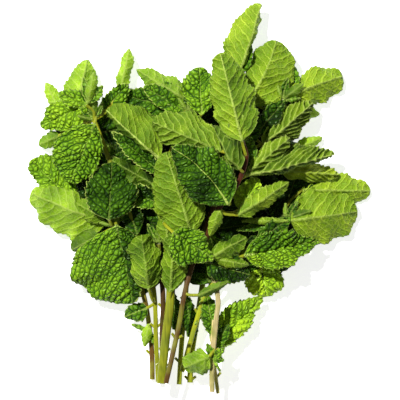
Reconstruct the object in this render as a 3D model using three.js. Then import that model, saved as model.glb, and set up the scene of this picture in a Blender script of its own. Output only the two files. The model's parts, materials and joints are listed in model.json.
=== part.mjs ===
// A cut bunch of garden mint lying loose on a flat surface. Millimetres, +Z up. The cut stem
// ends point to -Y and the leafy tops to +Y. Stems and leaves are laid down one after another,
// from the bottom of the heap to the top, and each is lifted just clear of what lies below it.
import * as THREE from "three";
import { mergeVertices } from "three/addons/utils/BufferGeometryUtils.js";

// Driving dimensions
const PETIOLE_THICKNESS = 1.8;
const PETIOLE_HALF_WIDTH = 0.9;
const PETIOLE_SHARE = 0.07; // of a leaf's length
const BLADE_THICKNESS = 1.0; // at the foot of the blade
const TIP_THICKNESS = 0.6;
const BLADE_FULLNESS = 0.5; // lower is fuller towards the two ends of the blade
const MARGIN_CURL = 1.5; // higher keeps the bend of a blade nearer its margins
const CLEARANCE = 0.35; // kept between one piece and the next
const LEAF_STATIONS = 9;
const SMALL_LEAF_STATIONS = 7;
const SMALL_LEAF_LENGTH = 24;
const LEAF_AROUND = 12;
const STEM_SPACING = 8; // between the stations of a stem
const STEM_AROUND = 8;
const STEM_FLAT = 0.95; // reach of a stem's flat sides, as a share of half its width
const STEM_CORNER = 1.1; // the same for its four corners
const WELD = 1e-4; // vertices nearer than this become one
const CELL = 0.6; // of the height map that pieces are laid on
const GROUND_CELLS = 400; // along each side
const LAYING_ROUNDS = 40;
const SOFTENING = 6; // passes

const COLOURS = {
  leaf_upper: { color: 0x3d7f22, roughness: 0.42 },
  leaf_under: { color: 0x8db83c, roughness: 0.62 },
  young_leaf: { color: 0x9fcf35, roughness: 0.5 },
  stem_green: { color: 0x98a63a, roughness: 0.5 },
  stem_brown: { color: 0x6f4a26, roughness: 0.5 },
};

// A leaf goes from the foot of its stalk to its tip, both as x, y, z.
//   slot: the face that is turned up
//   half: plan half widths, left and right of the midrib as seen along the leaf
//   rise: height of the left and right margins over the midrib
//   bow:  sideways bend of the midrib to the left
//   arch: height of the middle of the midrib over its ends
//   wide: where along the blade it is widest
const leaf = (name, slot, from, to, half, rise, more = {}) => ({
  kind: "leaf",
  name,
  slot,
  from,
  to,
  half,
  rise,
  bow: 0,
  arch: 2,
  wide: 0.4,
  ...more,
});

// A stem goes from its cut end through a few places, each x, y, z.
const stem = (name, slot, width, path) => ({ kind: "stem", name, slot, width, path });

// Leaves that the heap rests on
const UNDERNEATH = [
  leaf("leaf_below_1", "leaf_under", [-7, 12, 5], [-54, 30, 1], [8, 9], [-2, -2]),
  leaf("leaf_below_2", "leaf_upper", [-6, -4, 5], [-42, -16, 1], [11, 10], [-2, -2]),
  leaf("leaf_below_3", "leaf_upper", [11, 10, 5], [56, -8, 1], [11, 12], [-2, -2]),
  leaf("leaf_below_4", "leaf_upper", [14, 25, 5], [46, 46, 1], [11, 10], [-2, -2]),
  leaf("leaf_below_5", "leaf_under", [-6, 30, 5], [-22, 60, 1], [10, 10], [-2, -2]),
  leaf("leaf_below_6", "leaf_upper", [4, -16, 5], [24, -40, 1], [9, 9], [-2, -2]),
];

// Outer leaves, low in the heap
const LOW_LEAVES = [
  leaf("leaf_crown_tall", "leaf_under",
    [19, 62, 16], [30.5, 98.5, 9], [11.5, 2.5], [-4, -9], { wide: 0.38 }),
  leaf("leaf_right_far_top", "leaf_under",
    [41.5, 50, 13], [71.5, 62, 4], [8.5, 10], [-2, -3], { bow: 1, wide: 0.58 }),
  leaf("leaf_right_bud_1", "young_leaf", [48, 44, 7], [60, 43, 3], [3, 3], [-1, -1]),
  leaf("leaf_right_bud_2", "young_leaf", [45, 24, 8], [61.5, 31.5, 3], [3.2, 3.2], [-1, -1]),
  leaf("leaf_right_far", "leaf_under", [50, 5, 9], [85.5, 4.5, 3], [9, 9], [-2, -2]),
  leaf("leaf_left_far_top", "young_leaf", [-69, 42, 7], [-77.5, 59, 3], [3.5, 4.5], [-1, -1]),
  leaf("leaf_left_top", "young_leaf",
    [-62.5, 44, 12], [-56.5, 70.5, 4], [8.5, 9.5], [-2, -3], { wide: 0.36 }),
  leaf("leaf_left_far_mid", "young_leaf", [-70, 32.5, 8], [-81, 27.5, 4], [3.7, 3.7], [-1, -1]),
  leaf("leaf_top_narrow", "young_leaf", [-40, 54, 12], [-35.5, 76, 5], [3.2, 3.8], [-2, -2]),
  leaf("leaf_left_shaded", "leaf_upper", [-60, -4, 12], [-85, 20, 5], [6, 9.5], [-2, -3], { wide: 0.6 }),
  leaf("leaf_left_bright", "young_leaf",
    [-45.5, -11, 15], [-84.5, 4.5, 4], [14.5, 9], [-4, -2], { bow: 1 }),
  leaf("leaf_foot_fold", "leaf_upper", [30.5, -33.5, 14], [33.5, -48.5, 6], [9, 9], [-4, -3]),
  leaf("leaf_foot_right", "leaf_upper", [6, -75.5, 11], [31.5, -48.5, 5], [9.5, 4.5], [-2, -3]),
];

// The two lowest stems carry the leaves underneath, the others those round the heap
const STEMS = [
  stem("stem_7", "stem_green", 2.6,
    [[-10.5, -92.5, 2], [-9.5, -75, 3], [-7, -45, 5], [-5, 0, 6], [-7, 32, 6]]),
  stem("stem_10", "stem_green", 3.0,
    [[-5, -91.5, 2], [-4.5, -80, 3], [1, -44, 5], [5, -12, 6], [14, 26, 6]]),
  stem("stem_1", "stem_brown", 2.6, [[-24, -90, 3], [-24.5, -72.5, 5], [-29, -45, 12], [-42, -13, 20]]),
  stem("stem_2", "stem_green", 2.4,
    [[-21, -91, 4], [-22, -72.5, 7], [-24, -40, 13], [-41, 8, 18], [-53, 40, 18]]),
  stem("stem_4", "stem_brown", 2.6, [[-19, -88, 3], [-19, -65, 8], [-18.5, -50, 12], [-21, -22, 16]]),
  stem("stem_3", "stem_green", 4.6,
    [[-19.5, -91.5, 7], [-17.3, -70, 11], [-14.7, -46, 15], [-17, 10, 18], [-6, 44, 16]]),
  stem("stem_5", "stem_green", 2.6,
    [[-17, -91.5, 8], [-11, -65, 12], [-6, -40, 16], [14, 12, 18], [41, 50, 13]]),
  stem("stem_8", "stem_green", 2.6,
    [[-9, -86, 8], [-1.5, -60, 11], [4, -46, 14], [22, -26, 18], [43, -10, 16]]),
  stem("stem_12", "stem_brown", 2.0, [[9, -97, 3], [7.5, -86, 4], [6, -72, 6], [7, -60, 8]]),
  stem("stem_11", "stem_brown", 2.6,
    [[6, -96, 6], [6, -82.5, 8], [8, -60, 13], [9, -49, 16], [4, -30, 21]]),
];

// Leaves over the stems, from the bottom of the heap to the top
const MIDDLE_LEAVES = [
  leaf("leaf_foot_left", "young_leaf", [5, -78.5, 16], [-8, -84, 13], [7, 7], [-3, -3]),
  leaf("leaf_foot_curl", "leaf_upper", [-26, -54, 13], [-38, -58.5, 10], [4, 4], [-2, -2]),
  leaf("leaf_left_low", "young_leaf", [-50, -17.5, 17], [-64.5, -25, 9], [5.5, 5.5], [-2, -2]),
  leaf("leaf_top_mid", "young_leaf", [-5, 49, 15], [-32, 65.5, 6], [6.5, 6.5], [-2, -2]),
  leaf("leaf_left_edge", "leaf_upper", [-48.5, 44, 14], [-36, 58, 9], [4.5, 4.5], [-2, -2]),
  leaf("leaf_inner_left", "leaf_under",
    [-19.5, 20, 22], [-47, 45, 15], [2.5, 14.5], [-7, -4], { wide: 0.5 }),
  leaf("leaf_inner_foot", "leaf_upper", [2.5, -31, 14], [25, -37.5, 12], [7, 7], [-2, -2]),
  leaf("leaf_right_curl", "leaf_under", [40, 15, 16], [69.5, 12.5, 8], [6.5, 5.5], [-2, -3]),
  leaf("leaf_right_ribbed", "leaf_under", [31, 27.5, 21], [56.5, 49, 11], [9, 9], [-3, -3]),
  leaf("leaf_crown_right", "leaf_under",
    [22.5, 47, 20], [38, 80, 9], [10, 15], [-3, -5], { bow: -2, wide: 0.5 }),
  leaf("leaf_right_broad", "leaf_under", [44.5, -10.5, 18], [79, -5.5, 5], [15, 14.5], [-4, -5]),
  leaf("leaf_centre_low", "leaf_under", [-15, -46.5, 17], [-12.5, -12.5, 22], [6, 8], [-2, -2]),
  leaf("leaf_left_lower", "leaf_upper",
    [-42, -12, 26], [-34, -52, 12], [10, 25], [-7, -12], { wide: 0.43 }),
  leaf("leaf_left_quilted", "leaf_upper", [-45.5, -10.5, 27], [-44, 19, 20], [12, 12.5], [-3, -4]),
  leaf("leaf_left_bud", "leaf_upper", [-56, 48, 20], [-80, 37, 9], [7.5, 7.5], [-3, -3]),
  leaf("leaf_left_hero", "leaf_upper",
    [-52.5, 38.5, 30], [-65, 8.5, 18], [9, 14], [-3, -6], { wide: 0.5 }),
  leaf("leaf_top_centre", "leaf_upper",
    [1, 42, 24], [-0.5, 66.5, 14], [8.5, 8.5], [-2, -2], { wide: 0.52 }),
  leaf("leaf_right_long", "leaf_under", [22, 12, 30], [67.5, 23, 14], [10.5, 2], [-2, -8]),
  leaf("leaf_right_low", "leaf_upper", [21.5, -28, 24], [59.5, -20.5, 14], [8.5, 8.5], [-3, -3]),
  leaf("leaf_inner_small", "leaf_under", [5, -29, 19], [23.5, -19, 18], [5, 5], [-2, -2]),
  leaf("leaf_inner_rib", "leaf_upper", [20, -6, 25], [29, 11, 22], [6, 6], [-2, -2]),
  leaf("leaf_inner_pale", "leaf_under", [18, -8, 28], [44.5, 9, 20], [5, 5], [-2, -2]),
];

const UPPER_STEMS = [
  stem("stem_main", "stem_brown", 2.6,
    [[1.5, -25, 24], [7.5, -7.5, 29], [19, 9, 33], [23, 22, 35], [21, 29, 36]]),
];

const TOP_LEAVES = [
  leaf("leaf_centre_side", "leaf_under", [20, 15, 30], [6, 37, 26], [6, 7], [-2, -2]),
  leaf("leaf_centre_arch", "leaf_under", [11, 24, 31], [-24, 39, 22], [9, 13], [-3, -4], { wide: 0.5 }),
  leaf("leaf_centre_olive", "leaf_under", [-4, -18, 28], [-17, 24, 28], [14, 12], [-4, -3]),
  leaf("leaf_foot_olive", "leaf_under", [-25.5, -45, 22], [-29.5, -17.5, 25], [8.5, 8.5], [-4, -3]),
  leaf("leaf_foot_roll", "young_leaf", [-1.5, -48, 21], [14.5, -40.5, 21], [2.3, 2.3], [-1, -1]),
  leaf("leaf_centre_tip", "leaf_upper", [-14, -16, 34], [7, -29.5, 27], [7, 11], [-3, -5]),
  leaf("leaf_centre_dark", "leaf_upper",
    [14.5, -3, 37], [-14, 26, 32], [12, 11.5], [-4, -4], { bow: -2.5 }),
  leaf("leaf_hero_pale", "leaf_under", [21, 28.5, 38], [10, 73.5, 30], [11, 12.5], [-3, -3]),
];

// Geometry of one closed body: the rings of a sphere become stations along the piece. The first
// and the last row are its two end points.
function loft(rows, around, place) {
  const body = new THREE.SphereGeometry(1, around, rows);
  body.deleteAttribute("uv");
  body.deleteAttribute("normal");
  const points = body.getAttribute("position");
  for (let row = 0; row <= rows; row += 1) {
    for (let column = 0; column <= around; column += 1) {
      const point = place(row, (around - column) % around);
      points.setXYZ(row * (around + 1) + column, point.x, point.y, point.z);
    }
  }
  return body;
}

// Share of the half width at a place along a leaf: a narrow stalk, then an ovate blade.
function bladeWidth(along, wide) {
  const blade = Math.max(0, (along - PETIOLE_SHARE) / (1 - PETIOLE_SHARE));
  const turn = Math.PI * blade ** (Math.log(0.5) / Math.log(wide));
  return Math.sin(turn) ** BLADE_FULLNESS;
}

// The middle surface of a leaf as rows of points from margin to margin, without the two ends.
function leafSurface(piece) {
  const foot = new THREE.Vector3(...piece.from);
  const tip = new THREE.Vector3(...piece.to);
  const run = tip.clone().sub(foot);
  const left = new THREE.Vector3(-run.y, run.x, 0).normalize();
  // The midrib's middle lies half way to the curve's control point
  const control = foot.clone().lerp(tip, 0.5).addScaledVector(left, 2 * piece.bow);
  control.z += 2 * piece.arch;
  const midrib = new THREE.QuadraticBezierCurve3(foot, control, tip);
  const stations = run.length() < SMALL_LEAF_LENGTH ? SMALL_LEAF_STATIONS : LEAF_STATIONS;
  const columns = LEAF_AROUND / 2;
  const rows = [];
  for (let station = 1; station <= stations; station += 1) {
    const along = (1 - Math.cos((Math.PI * station) / (stations + 1))) / 2;
    const spine = midrib.getPoint(along);
    const heading = midrib.getTangent(along);
    const side = new THREE.Vector3(-heading.y, heading.x, 0).normalize();
    const share = bladeWidth(along, piece.wide);
    const row = [];
    for (let column = 0; column <= columns; column += 1) {
      const across = Math.cos((Math.PI * column) / columns);
      const half = piece.half[across > 0 ? 0 : 1];
      const rise = piece.rise[across > 0 ? 0 : 1];
      const width = Math.max(half * share, PETIOLE_HALF_WIDTH);
      const point = spine.clone().addScaledVector(side, across * width);
      point.z += rise * share * Math.abs(across) ** MARGIN_CURL;
      row.push(point);
    }
    rows.push(row);
  }
  return { foot, tip, rows };
}

// Closed body of a leaf with its middle surface lifted: thick at the midrib, thin at the margins
function leafBody(surface, lifts) {
  const { foot, tip, rows } = surface;
  const raised = rows.map((row, i) =>
    row.map((point, j) => new THREE.Vector3(point.x, point.y, point.z + lifts[i][j])),
  );
  const columns = LEAF_AROUND / 2;
  const half = columns / 2;
  const ends = [foot, tip].map((end, k) => {
    const nearest = k === 0 ? 0 : rows.length - 1;
    return new THREE.Vector3(end.x, end.y, end.z + lifts[nearest][half]);
  });
  const outward = (i, j) => {
    const ahead = (raised[i + 1]?.[j] ?? ends[1]).clone().sub(raised[i - 1]?.[j] ?? ends[0]);
    const acrossTo = raised[i][Math.max(0, j - 1)];
    const acrossFrom = raised[i][Math.min(columns, j + 1)];
    return ahead.cross(acrossTo.clone().sub(acrossFrom)).normalize();
  };
  return loft(rows.length + 1, LEAF_AROUND, (row, column) => {
    if (row === 0) return ends[0];
    if (row === rows.length + 1) return ends[1];
    const below = column > columns;
    const j = below ? LEAF_AROUND - column : column;
    const share = row / (rows.length + 1);
    const blade = THREE.MathUtils.lerp(BLADE_THICKNESS, TIP_THICKNESS, share);
    const full = row === 1 ? PETIOLE_THICKNESS : blade;
    const thickness = (full / 2) * Math.sin((Math.PI * j) / columns);
    const shift = below ? -thickness : thickness;
    return raised[row - 1][j].clone().addScaledVector(outward(row - 1, j), shift);
  });
}

// A stem's centre line as stations, each one a row of a single point
function stemSurface(piece) {
  const curve = new THREE.CatmullRomCurve3(piece.path.map((place) => new THREE.Vector3(...place)));
  const spans = Math.round(curve.getLength() / STEM_SPACING);
  const rows = curve.getSpacedPoints(spans).map((point) => [point]);
  return { rows };
}

// Closed body of a stem: a square section with rounded corners, cut off flat at both ends
function stemBody(surface, lifts, width) {
  const centres = surface.rows.map((row, i) => row[0].clone().setZ(row[0].z + lifts[i][0]));
  const last = centres.length - 1;
  return loft(last + 2, STEM_AROUND, (row, column) => {
    if (row === 0) return centres[0];
    if (row === last + 2) return centres[last];
    const i = row - 1;
    const heading = centres[Math.min(last, i + 1)].clone().sub(centres[Math.max(0, i - 1)]).normalize();
    const side = new THREE.Vector3(-heading.y, heading.x, 0).normalize();
    const up = heading.clone().cross(side);
    const angle = (2 * Math.PI * column) / STEM_AROUND;
    const radius = (width / 2) * (column % 2 === 0 ? STEM_FLAT : STEM_CORNER);
    return centres[i]
      .clone()
      .addScaledVector(side, radius * Math.cos(angle))
      .addScaledVector(up, radius * Math.sin(angle));
  });
}

// Heights of what has been laid so far, one for each cell of the ground
const ground = new Float32Array(GROUND_CELLS * GROUND_CELLS).fill(-CLEARANCE);
const cellAt = (v) => Math.round(v / CELL) + GROUND_CELLS / 2;

// Calls visit with each cell that a body's triangles touch, the lowest and the highest place of
// the triangle there, and the triangle's corners.
function overCells(body, visit) {
  const points = body.getAttribute("position");
  const reach = CELL * Math.SQRT1_2;
  for (let k = 0; k < body.index.count; k += 3) {
    const ids = [0, 1, 2].map((n) => body.index.getX(k + n));
    const [a, b, c] = ids.map((id) => new THREE.Vector3().fromBufferAttribute(points, id));
    const normal = b.clone().sub(a).cross(c.clone().sub(a));
    const box = new THREE.Box3().setFromPoints([a, b, c]);
    const turn = Math.sign(normal.z);
    const inside = (p, q, x, y) => {
      const length = Math.hypot(q.x - p.x, q.y - p.y) || 1;
      return (turn * ((q.x - p.x) * (y - p.y) - (q.y - p.y) * (x - p.x))) / length >= -reach;
    };
    const steep = Math.hypot(normal.x, normal.y) / Math.max(Math.abs(normal.z), 1e-9);
    for (let column = cellAt(box.min.x); column <= cellAt(box.max.x); column += 1) {
      for (let row = cellAt(box.min.y); row <= cellAt(box.max.y); row += 1) {
        const x = (column - GROUND_CELLS / 2) * CELL;
        const y = (row - GROUND_CELLS / 2) * CELL;
        if (!(inside(a, b, x, y) && inside(b, c, x, y) && inside(c, a, x, y))) continue;
        const middle = a.z - (normal.x * (x - a.x) + normal.y * (y - a.y)) / (normal.z || 1e-9);
        const low = Math.max(box.min.z, Math.min(box.max.z, middle - steep * reach));
        const high = Math.min(box.max.z, Math.max(box.min.z, middle + steep * reach));
        visit(column * GROUND_CELLS + row, low, high, ids);
      }
    }
  }
}

// Raises each lift to the mean of its neighbours, so that a lifted place bulges softly
function soften(lifts) {
  return lifts.map((row, i) =>
    row.map((lift, j) => {
      const beside = [row[j - 1], row[j + 1], lifts[i - 1]?.[j], lifts[i + 1]?.[j]];
      const known = beside.filter((value) => value !== undefined);
      return Math.max(lift, known.reduce((sum, value) => sum + value, 0) / known.length);
    }),
  );
}

// Lays a piece on what is there already and returns its body
function lay(surface, makeBody, around) {
  const last = surface.rows.length - 1;
  const columns = surface.rows[0].length - 1;
  let lifts = surface.rows.map((row) => row.map(() => 0));
  for (let round = 0; round < LAYING_ROUNDS; round += 1) {
    const need = lifts.map((row) => row.slice());
    let deepest = 0;
    overCells(makeBody(lifts), (cell, low, high, ids) => {
      const lack = ground[cell] + CLEARANCE - low;
      if (lack <= 0) return;
      deepest = Math.max(deepest, lack);
      for (const id of ids) {
        const column = (id % (around + 1)) % around;
        const i = Math.min(last, Math.max(0, Math.floor(id / (around + 1)) - 1));
        const j = Math.min(columns, column > columns ? Math.max(0, around - column) : column);
        need[i][j] = Math.max(need[i][j], lifts[i][j] + lack);
      }
    });
    if (deepest === 0) break;
    lifts = need;
    for (let pass = 0; pass < SOFTENING; pass += 1) lifts = soften(lifts);
  }
  const body = makeBody(lifts);
  overCells(body, (cell, low, high) => {
    ground[cell] = Math.max(ground[cell], high);
  });
  return body;
}

function layLeaf(piece) {
  const surface = leafSurface(piece);
  return lay(surface, (lifts) => leafBody(surface, lifts), LEAF_AROUND);
}

function layStem(piece) {
  const surface = stemSurface(piece);
  return lay(surface, (lifts) => stemBody(surface, lifts, piece.width), STEM_AROUND);
}

function closed(body) {
  const merged = mergeVertices(body, WELD);
  merged.computeVertexNormals();
  return merged;
}

function bunch() {
  const group = new THREE.Group();
  group.name = "mint_bunch";
  for (const piece of [UNDERNEATH, LOW_LEAVES, STEMS, MIDDLE_LEAVES, UPPER_STEMS, TOP_LEAVES].flat()) {
    const body = piece.kind === "leaf" ? layLeaf(piece) : layStem(piece);
    const material = new THREE.MeshStandardMaterial({ ...COLOURS[piece.slot], metalness: 0 });
    material.name = piece.slot;
    const mesh = new THREE.Mesh(closed(body), material);
    mesh.name = piece.name;
    group.add(mesh);
  }
  return group;
}

// Puts the middle of the footprint at the origin and the lowest place on the ground
function centred(group) {
  const box = new THREE.Box3().setFromObject(group);
  const middle = box.getCenter(new THREE.Vector3());
  group.position.set(-middle.x, -middle.y, -box.min.z);
  return group;
}

const group = centred(bunch());
export default group;
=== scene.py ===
import json
import math
from collections import namedtuple

import bmesh
import bpy
import numpy as np
from bpy.props import FloatProperty, FloatVectorProperty, PointerProperty
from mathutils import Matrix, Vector
from mathutils.bvhtree import BVHTree


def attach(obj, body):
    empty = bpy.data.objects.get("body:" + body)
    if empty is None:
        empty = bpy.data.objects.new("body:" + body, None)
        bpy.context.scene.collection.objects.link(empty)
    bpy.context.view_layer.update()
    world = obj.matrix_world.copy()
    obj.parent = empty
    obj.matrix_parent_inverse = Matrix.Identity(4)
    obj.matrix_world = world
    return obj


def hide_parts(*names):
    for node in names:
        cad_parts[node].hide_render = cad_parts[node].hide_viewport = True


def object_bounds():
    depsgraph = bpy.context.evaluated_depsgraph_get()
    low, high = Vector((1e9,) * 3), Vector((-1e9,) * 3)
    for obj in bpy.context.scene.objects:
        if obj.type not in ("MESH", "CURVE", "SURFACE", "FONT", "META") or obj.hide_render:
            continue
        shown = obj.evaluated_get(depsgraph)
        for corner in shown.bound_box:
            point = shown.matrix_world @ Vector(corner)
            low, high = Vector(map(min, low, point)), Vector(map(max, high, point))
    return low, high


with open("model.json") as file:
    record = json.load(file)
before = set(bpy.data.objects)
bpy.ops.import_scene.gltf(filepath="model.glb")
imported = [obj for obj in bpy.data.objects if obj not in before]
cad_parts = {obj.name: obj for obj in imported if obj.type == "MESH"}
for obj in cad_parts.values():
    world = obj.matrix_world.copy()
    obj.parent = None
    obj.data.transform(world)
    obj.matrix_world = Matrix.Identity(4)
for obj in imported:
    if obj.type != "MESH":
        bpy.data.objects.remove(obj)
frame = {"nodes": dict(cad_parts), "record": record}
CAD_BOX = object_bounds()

bl_info = {
    "name": "Cut Mint Bunch",
    "version": (1, 0, 0),
    "blender": (4, 5, 0),
    "location": "View3D > Sidebar > Mint",
    "description": "Leaves, stems and stage of a cut bunch of garden mint that lies on a flat surface",
    "category": "Object",
}

MM = 0.001
WELD = 1e-6  # metres: points of a CAD mesh this near each other are one
COLOR_A, COLOR_B = 6, 7  # sockets of a colour Mix node
SMOOTH = {"interpolation_type": "SMOOTHSTEP"}  # setting of a Map Range node

# The CAD leaves and stems are rings of points between two end points
LEAF_AROUND = 12
STEM_AROUND = 8
COLUMNS = LEAF_AROUND // 2  # steps from one margin of a leaf to the other
MIDRIB = COLUMNS // 2  # the column of points that the midrib runs along

# How side veins leave the midrib: mm along for each mm across, and how much more at each mm
VEIN_LEAN = 0.62
VEIN_CURVE = 0.022
SIDE_VEIN_ANGLE = 0.72  # share of a distance along the midrib that lies across a side vein
VEIN_WANDER = 5.0  # mm that a noise shifts a side vein along the midrib
PAIR_STAGGER = 0.12  # how far the two veins of a pair are apart on the midrib, as a share of the spacing

# Veins as shares of the cell beside them
GROOVE_SHARE = 0.11  # half the width of a fine vein
RELIEF_FLANK = 0.32  # from a fine vein to the top of the bump beside it, in the shape
BUMP_FLANK = 0.34  # the same in the material

# What a leaf's tone, from dark (-1) to light (1), does to its blade
TONE_VALUE = 0.62  # lighter for each step
TONE_HUE = -0.022  # yellower for each step
DARKEST = 0.1  # the least share of its colour that a blade keeps
PAINTED_VALLEY_SHADE = -0.28  # how much darker a ribbed leaf is painted between its side veins: painted shade in the hollows
PATCH_HUES = (0.487, 0.51)  # a leaf's patches lean to yellow or to blue
PATCH_VALUES = (1.26, 0.7)


def linear(code):
    """A colour as linear red, green and blue from its sRGB hex code."""
    shares = [int(code[i : i + 2], 16) / 255 for i in (1, 3, 5)]
    return tuple(s / 12.92 if s <= 0.04045 else ((s + 0.055) / 1.055) ** 2.4 for s in shares)


def opaque(color):
    return (*color, 1.0)


def ease(value, low, high):
    """0 below low, 1 above high, and a smooth step between them."""
    share = np.clip((value - low) / (high - low), 0, 1)
    return share * share * (3 - 2 * share)


# ---------------------------------------------------------------- settings


class MintLeafSettings(bpy.types.PropertyGroup):
    """Sizes and colours of the leaves"""

    sheet: FloatProperty(
        name="Sheet", description="Thickness of a leaf's blade", default=0.38 * MM, unit="LENGTH"
    )
    tooth_pitch: FloatProperty(
        name="Tooth pitch", description="From one tooth of the margin to the next",
        default=2.6 * MM, unit="LENGTH",
    )
    tooth_depth: FloatProperty(
        name="Tooth depth", description="How far the notches cut in", default=1.35 * MM, unit="LENGTH"
    )
    vein_spacing: FloatProperty(
        name="Vein spacing", description="Between side veins along the midrib",
        default=5.0 * MM, unit="LENGTH",
    )
    cell: FloatProperty(
        name="Cell", description="Width of the bumps between fine veins", default=2.3 * MM, unit="LENGTH"
    )
    panel_height: FloatProperty(
        name="Panel height", description="Doming between two side veins", default=0.6 * MM, unit="LENGTH"
    )
    cell_height: FloatProperty(
        name="Cell height", description="Doming between fine veins", default=0.36 * MM, unit="LENGTH"
    )
    rib_height: FloatProperty(
        name="Rib height", description="How far the midrib stands out below", default=0.45 * MM, unit="LENGTH"
    )
    crease: FloatProperty(
        name="Crease", description="How far the midrib sinks into the upper side",
        default=1.1 * MM, unit="LENGTH",
    )
    wave: FloatProperty(
        name="Wave", description="Height of the waves along the margins", default=1.4 * MM, unit="LENGTH"
    )
    fold: FloatProperty(
        name="Fold", description="How far the margins bend from the midrib, to the upper side",
        default=3.2 * MM, unit="LENGTH",
    )
    swell: FloatProperty(
        name="Swell", description="Height of the broad swells of the blade", default=0.8 * MM, unit="LENGTH"
    )
    upper: FloatVectorProperty(
        name="Upper side", description="Blade of the upper side", default=linear("#7eae20"), subtype="COLOR"
    )
    # The sunken fine veins' own green, darkened by painted shade in their hollows
    upper_groove_shade: FloatVectorProperty(
        name="Groove", description="Sunken fine veins of the upper side",
        default=linear("#234804"), subtype="COLOR",
    )
    under: FloatVectorProperty(
        name="Under side", description="Blade of the under side", default=linear("#779a1a"), subtype="COLOR"
    )
    under_vein: FloatVectorProperty(
        name="Under vein", description="Raised veins of the under side",
        default=linear("#a2c13c"), subtype="COLOR",
    )
    # Paler than an old leaf, and lighter again by painted light that comes through it from below
    young: FloatVectorProperty(
        name="Young leaf", description="Blade of a young leaf", default=linear("#98be2a"), subtype="COLOR"
    )
    young_vein: FloatVectorProperty(
        name="Young vein", description="Veins of a young leaf", default=linear("#b6d356"), subtype="COLOR"
    )
    rib: FloatVectorProperty(
        name="Midrib", description="Midrib and stalk", default=linear("#b4c95c"), subtype="COLOR"
    )


class MintStemSettings(bpy.types.PropertyGroup):
    """Sizes and colours of the stems and stalks"""

    corner: FloatProperty(
        name="Corner", description="Radius of a stem's four corners, as a share of its width",
        default=0.3, subtype="FACTOR", min=0.05, max=0.45,
    )
    node_spacing: FloatProperty(
        name="Node spacing", description="Between the swellings where leaf pairs grow",
        default=31 * MM, unit="LENGTH",
    )
    node_swelling: FloatProperty(
        name="Node swelling", description="Extra girth at a node", default=0.38, subtype="FACTOR",
    )
    stalk: FloatProperty(
        name="Stalk", description="Thickness of a leaf's stalk", default=1.5 * MM, unit="LENGTH"
    )
    green: FloatVectorProperty(
        name="Green bark", description="Skin of a green stem", default=linear("#8f941c"), subtype="COLOR"
    )
    brown: FloatVectorProperty(
        name="Brown bark", description="Skin of a ripe stem", default=linear("#60441c"), subtype="COLOR"
    )
    straw: FloatVectorProperty(
        name="Straw bark", description="Skin of a pale, dry stem", default=linear("#c6b47c"), subtype="COLOR"
    )
    red: FloatVectorProperty(
        name="Red bark", description="Skin of a stem flushed with red",
        default=linear("#743c20"), subtype="COLOR",
    )
    pith: FloatVectorProperty(
        name="Pith", description="Cut end of a stem", default=linear("#d9dba0"), subtype="COLOR"
    )


class MintStageSettings(bpy.types.PropertyGroup):
    """View and light"""

    view_width: FloatProperty(
        name="View width", description="Width of table that the camera sees", default=0.2, unit="LENGTH"
    )
    camera_height: FloatProperty(
        name="Camera height", description="Camera over the table", default=5.0, unit="LENGTH"
    )
    key: FloatProperty(name="Key", description="Strength of the key light", default=5.1)
    fill: FloatProperty(name="Fill", description="Strength of the light from all round", default=0.15)
    # The floor's glow: painted light that keeps the bunch's shadow on it pale
    table_light: FloatProperty(
        name="Table light", description="Strength of the light from the floor", default=0.76
    )


# ---------------------------------------------------------------- nodes


def add(tree, kind, inputs=None, **settings):
    """Adds a node with its settings. inputs maps a socket to its value, or to what feeds it."""
    node = tree.nodes.new(kind)
    for name, value in settings.items():
        setattr(node, name, value)
    for socket, value in (inputs or {}).items():
        if isinstance(value, bpy.types.Node):
            value = next(s for s in value.outputs if s.enabled)
        if isinstance(value, bpy.types.NodeSocket):
            tree.links.new(value, node.inputs[socket])
        else:
            node.inputs[socket].default_value = value
    return node


def new_tree(name, inputs, output):
    """An empty Geometry Nodes tree with its inputs, as pairs of name and kind, and one geometry output."""
    tree = bpy.data.node_groups.new(name, "GeometryNodeTree")
    for label, kind in inputs:
        tree.interface.new_socket(label, in_out="INPUT", socket_type="NodeSocket" + kind)
    tree.interface.new_socket(output, in_out="OUTPUT", socket_type="NodeSocketGeometry")
    return tree


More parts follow.
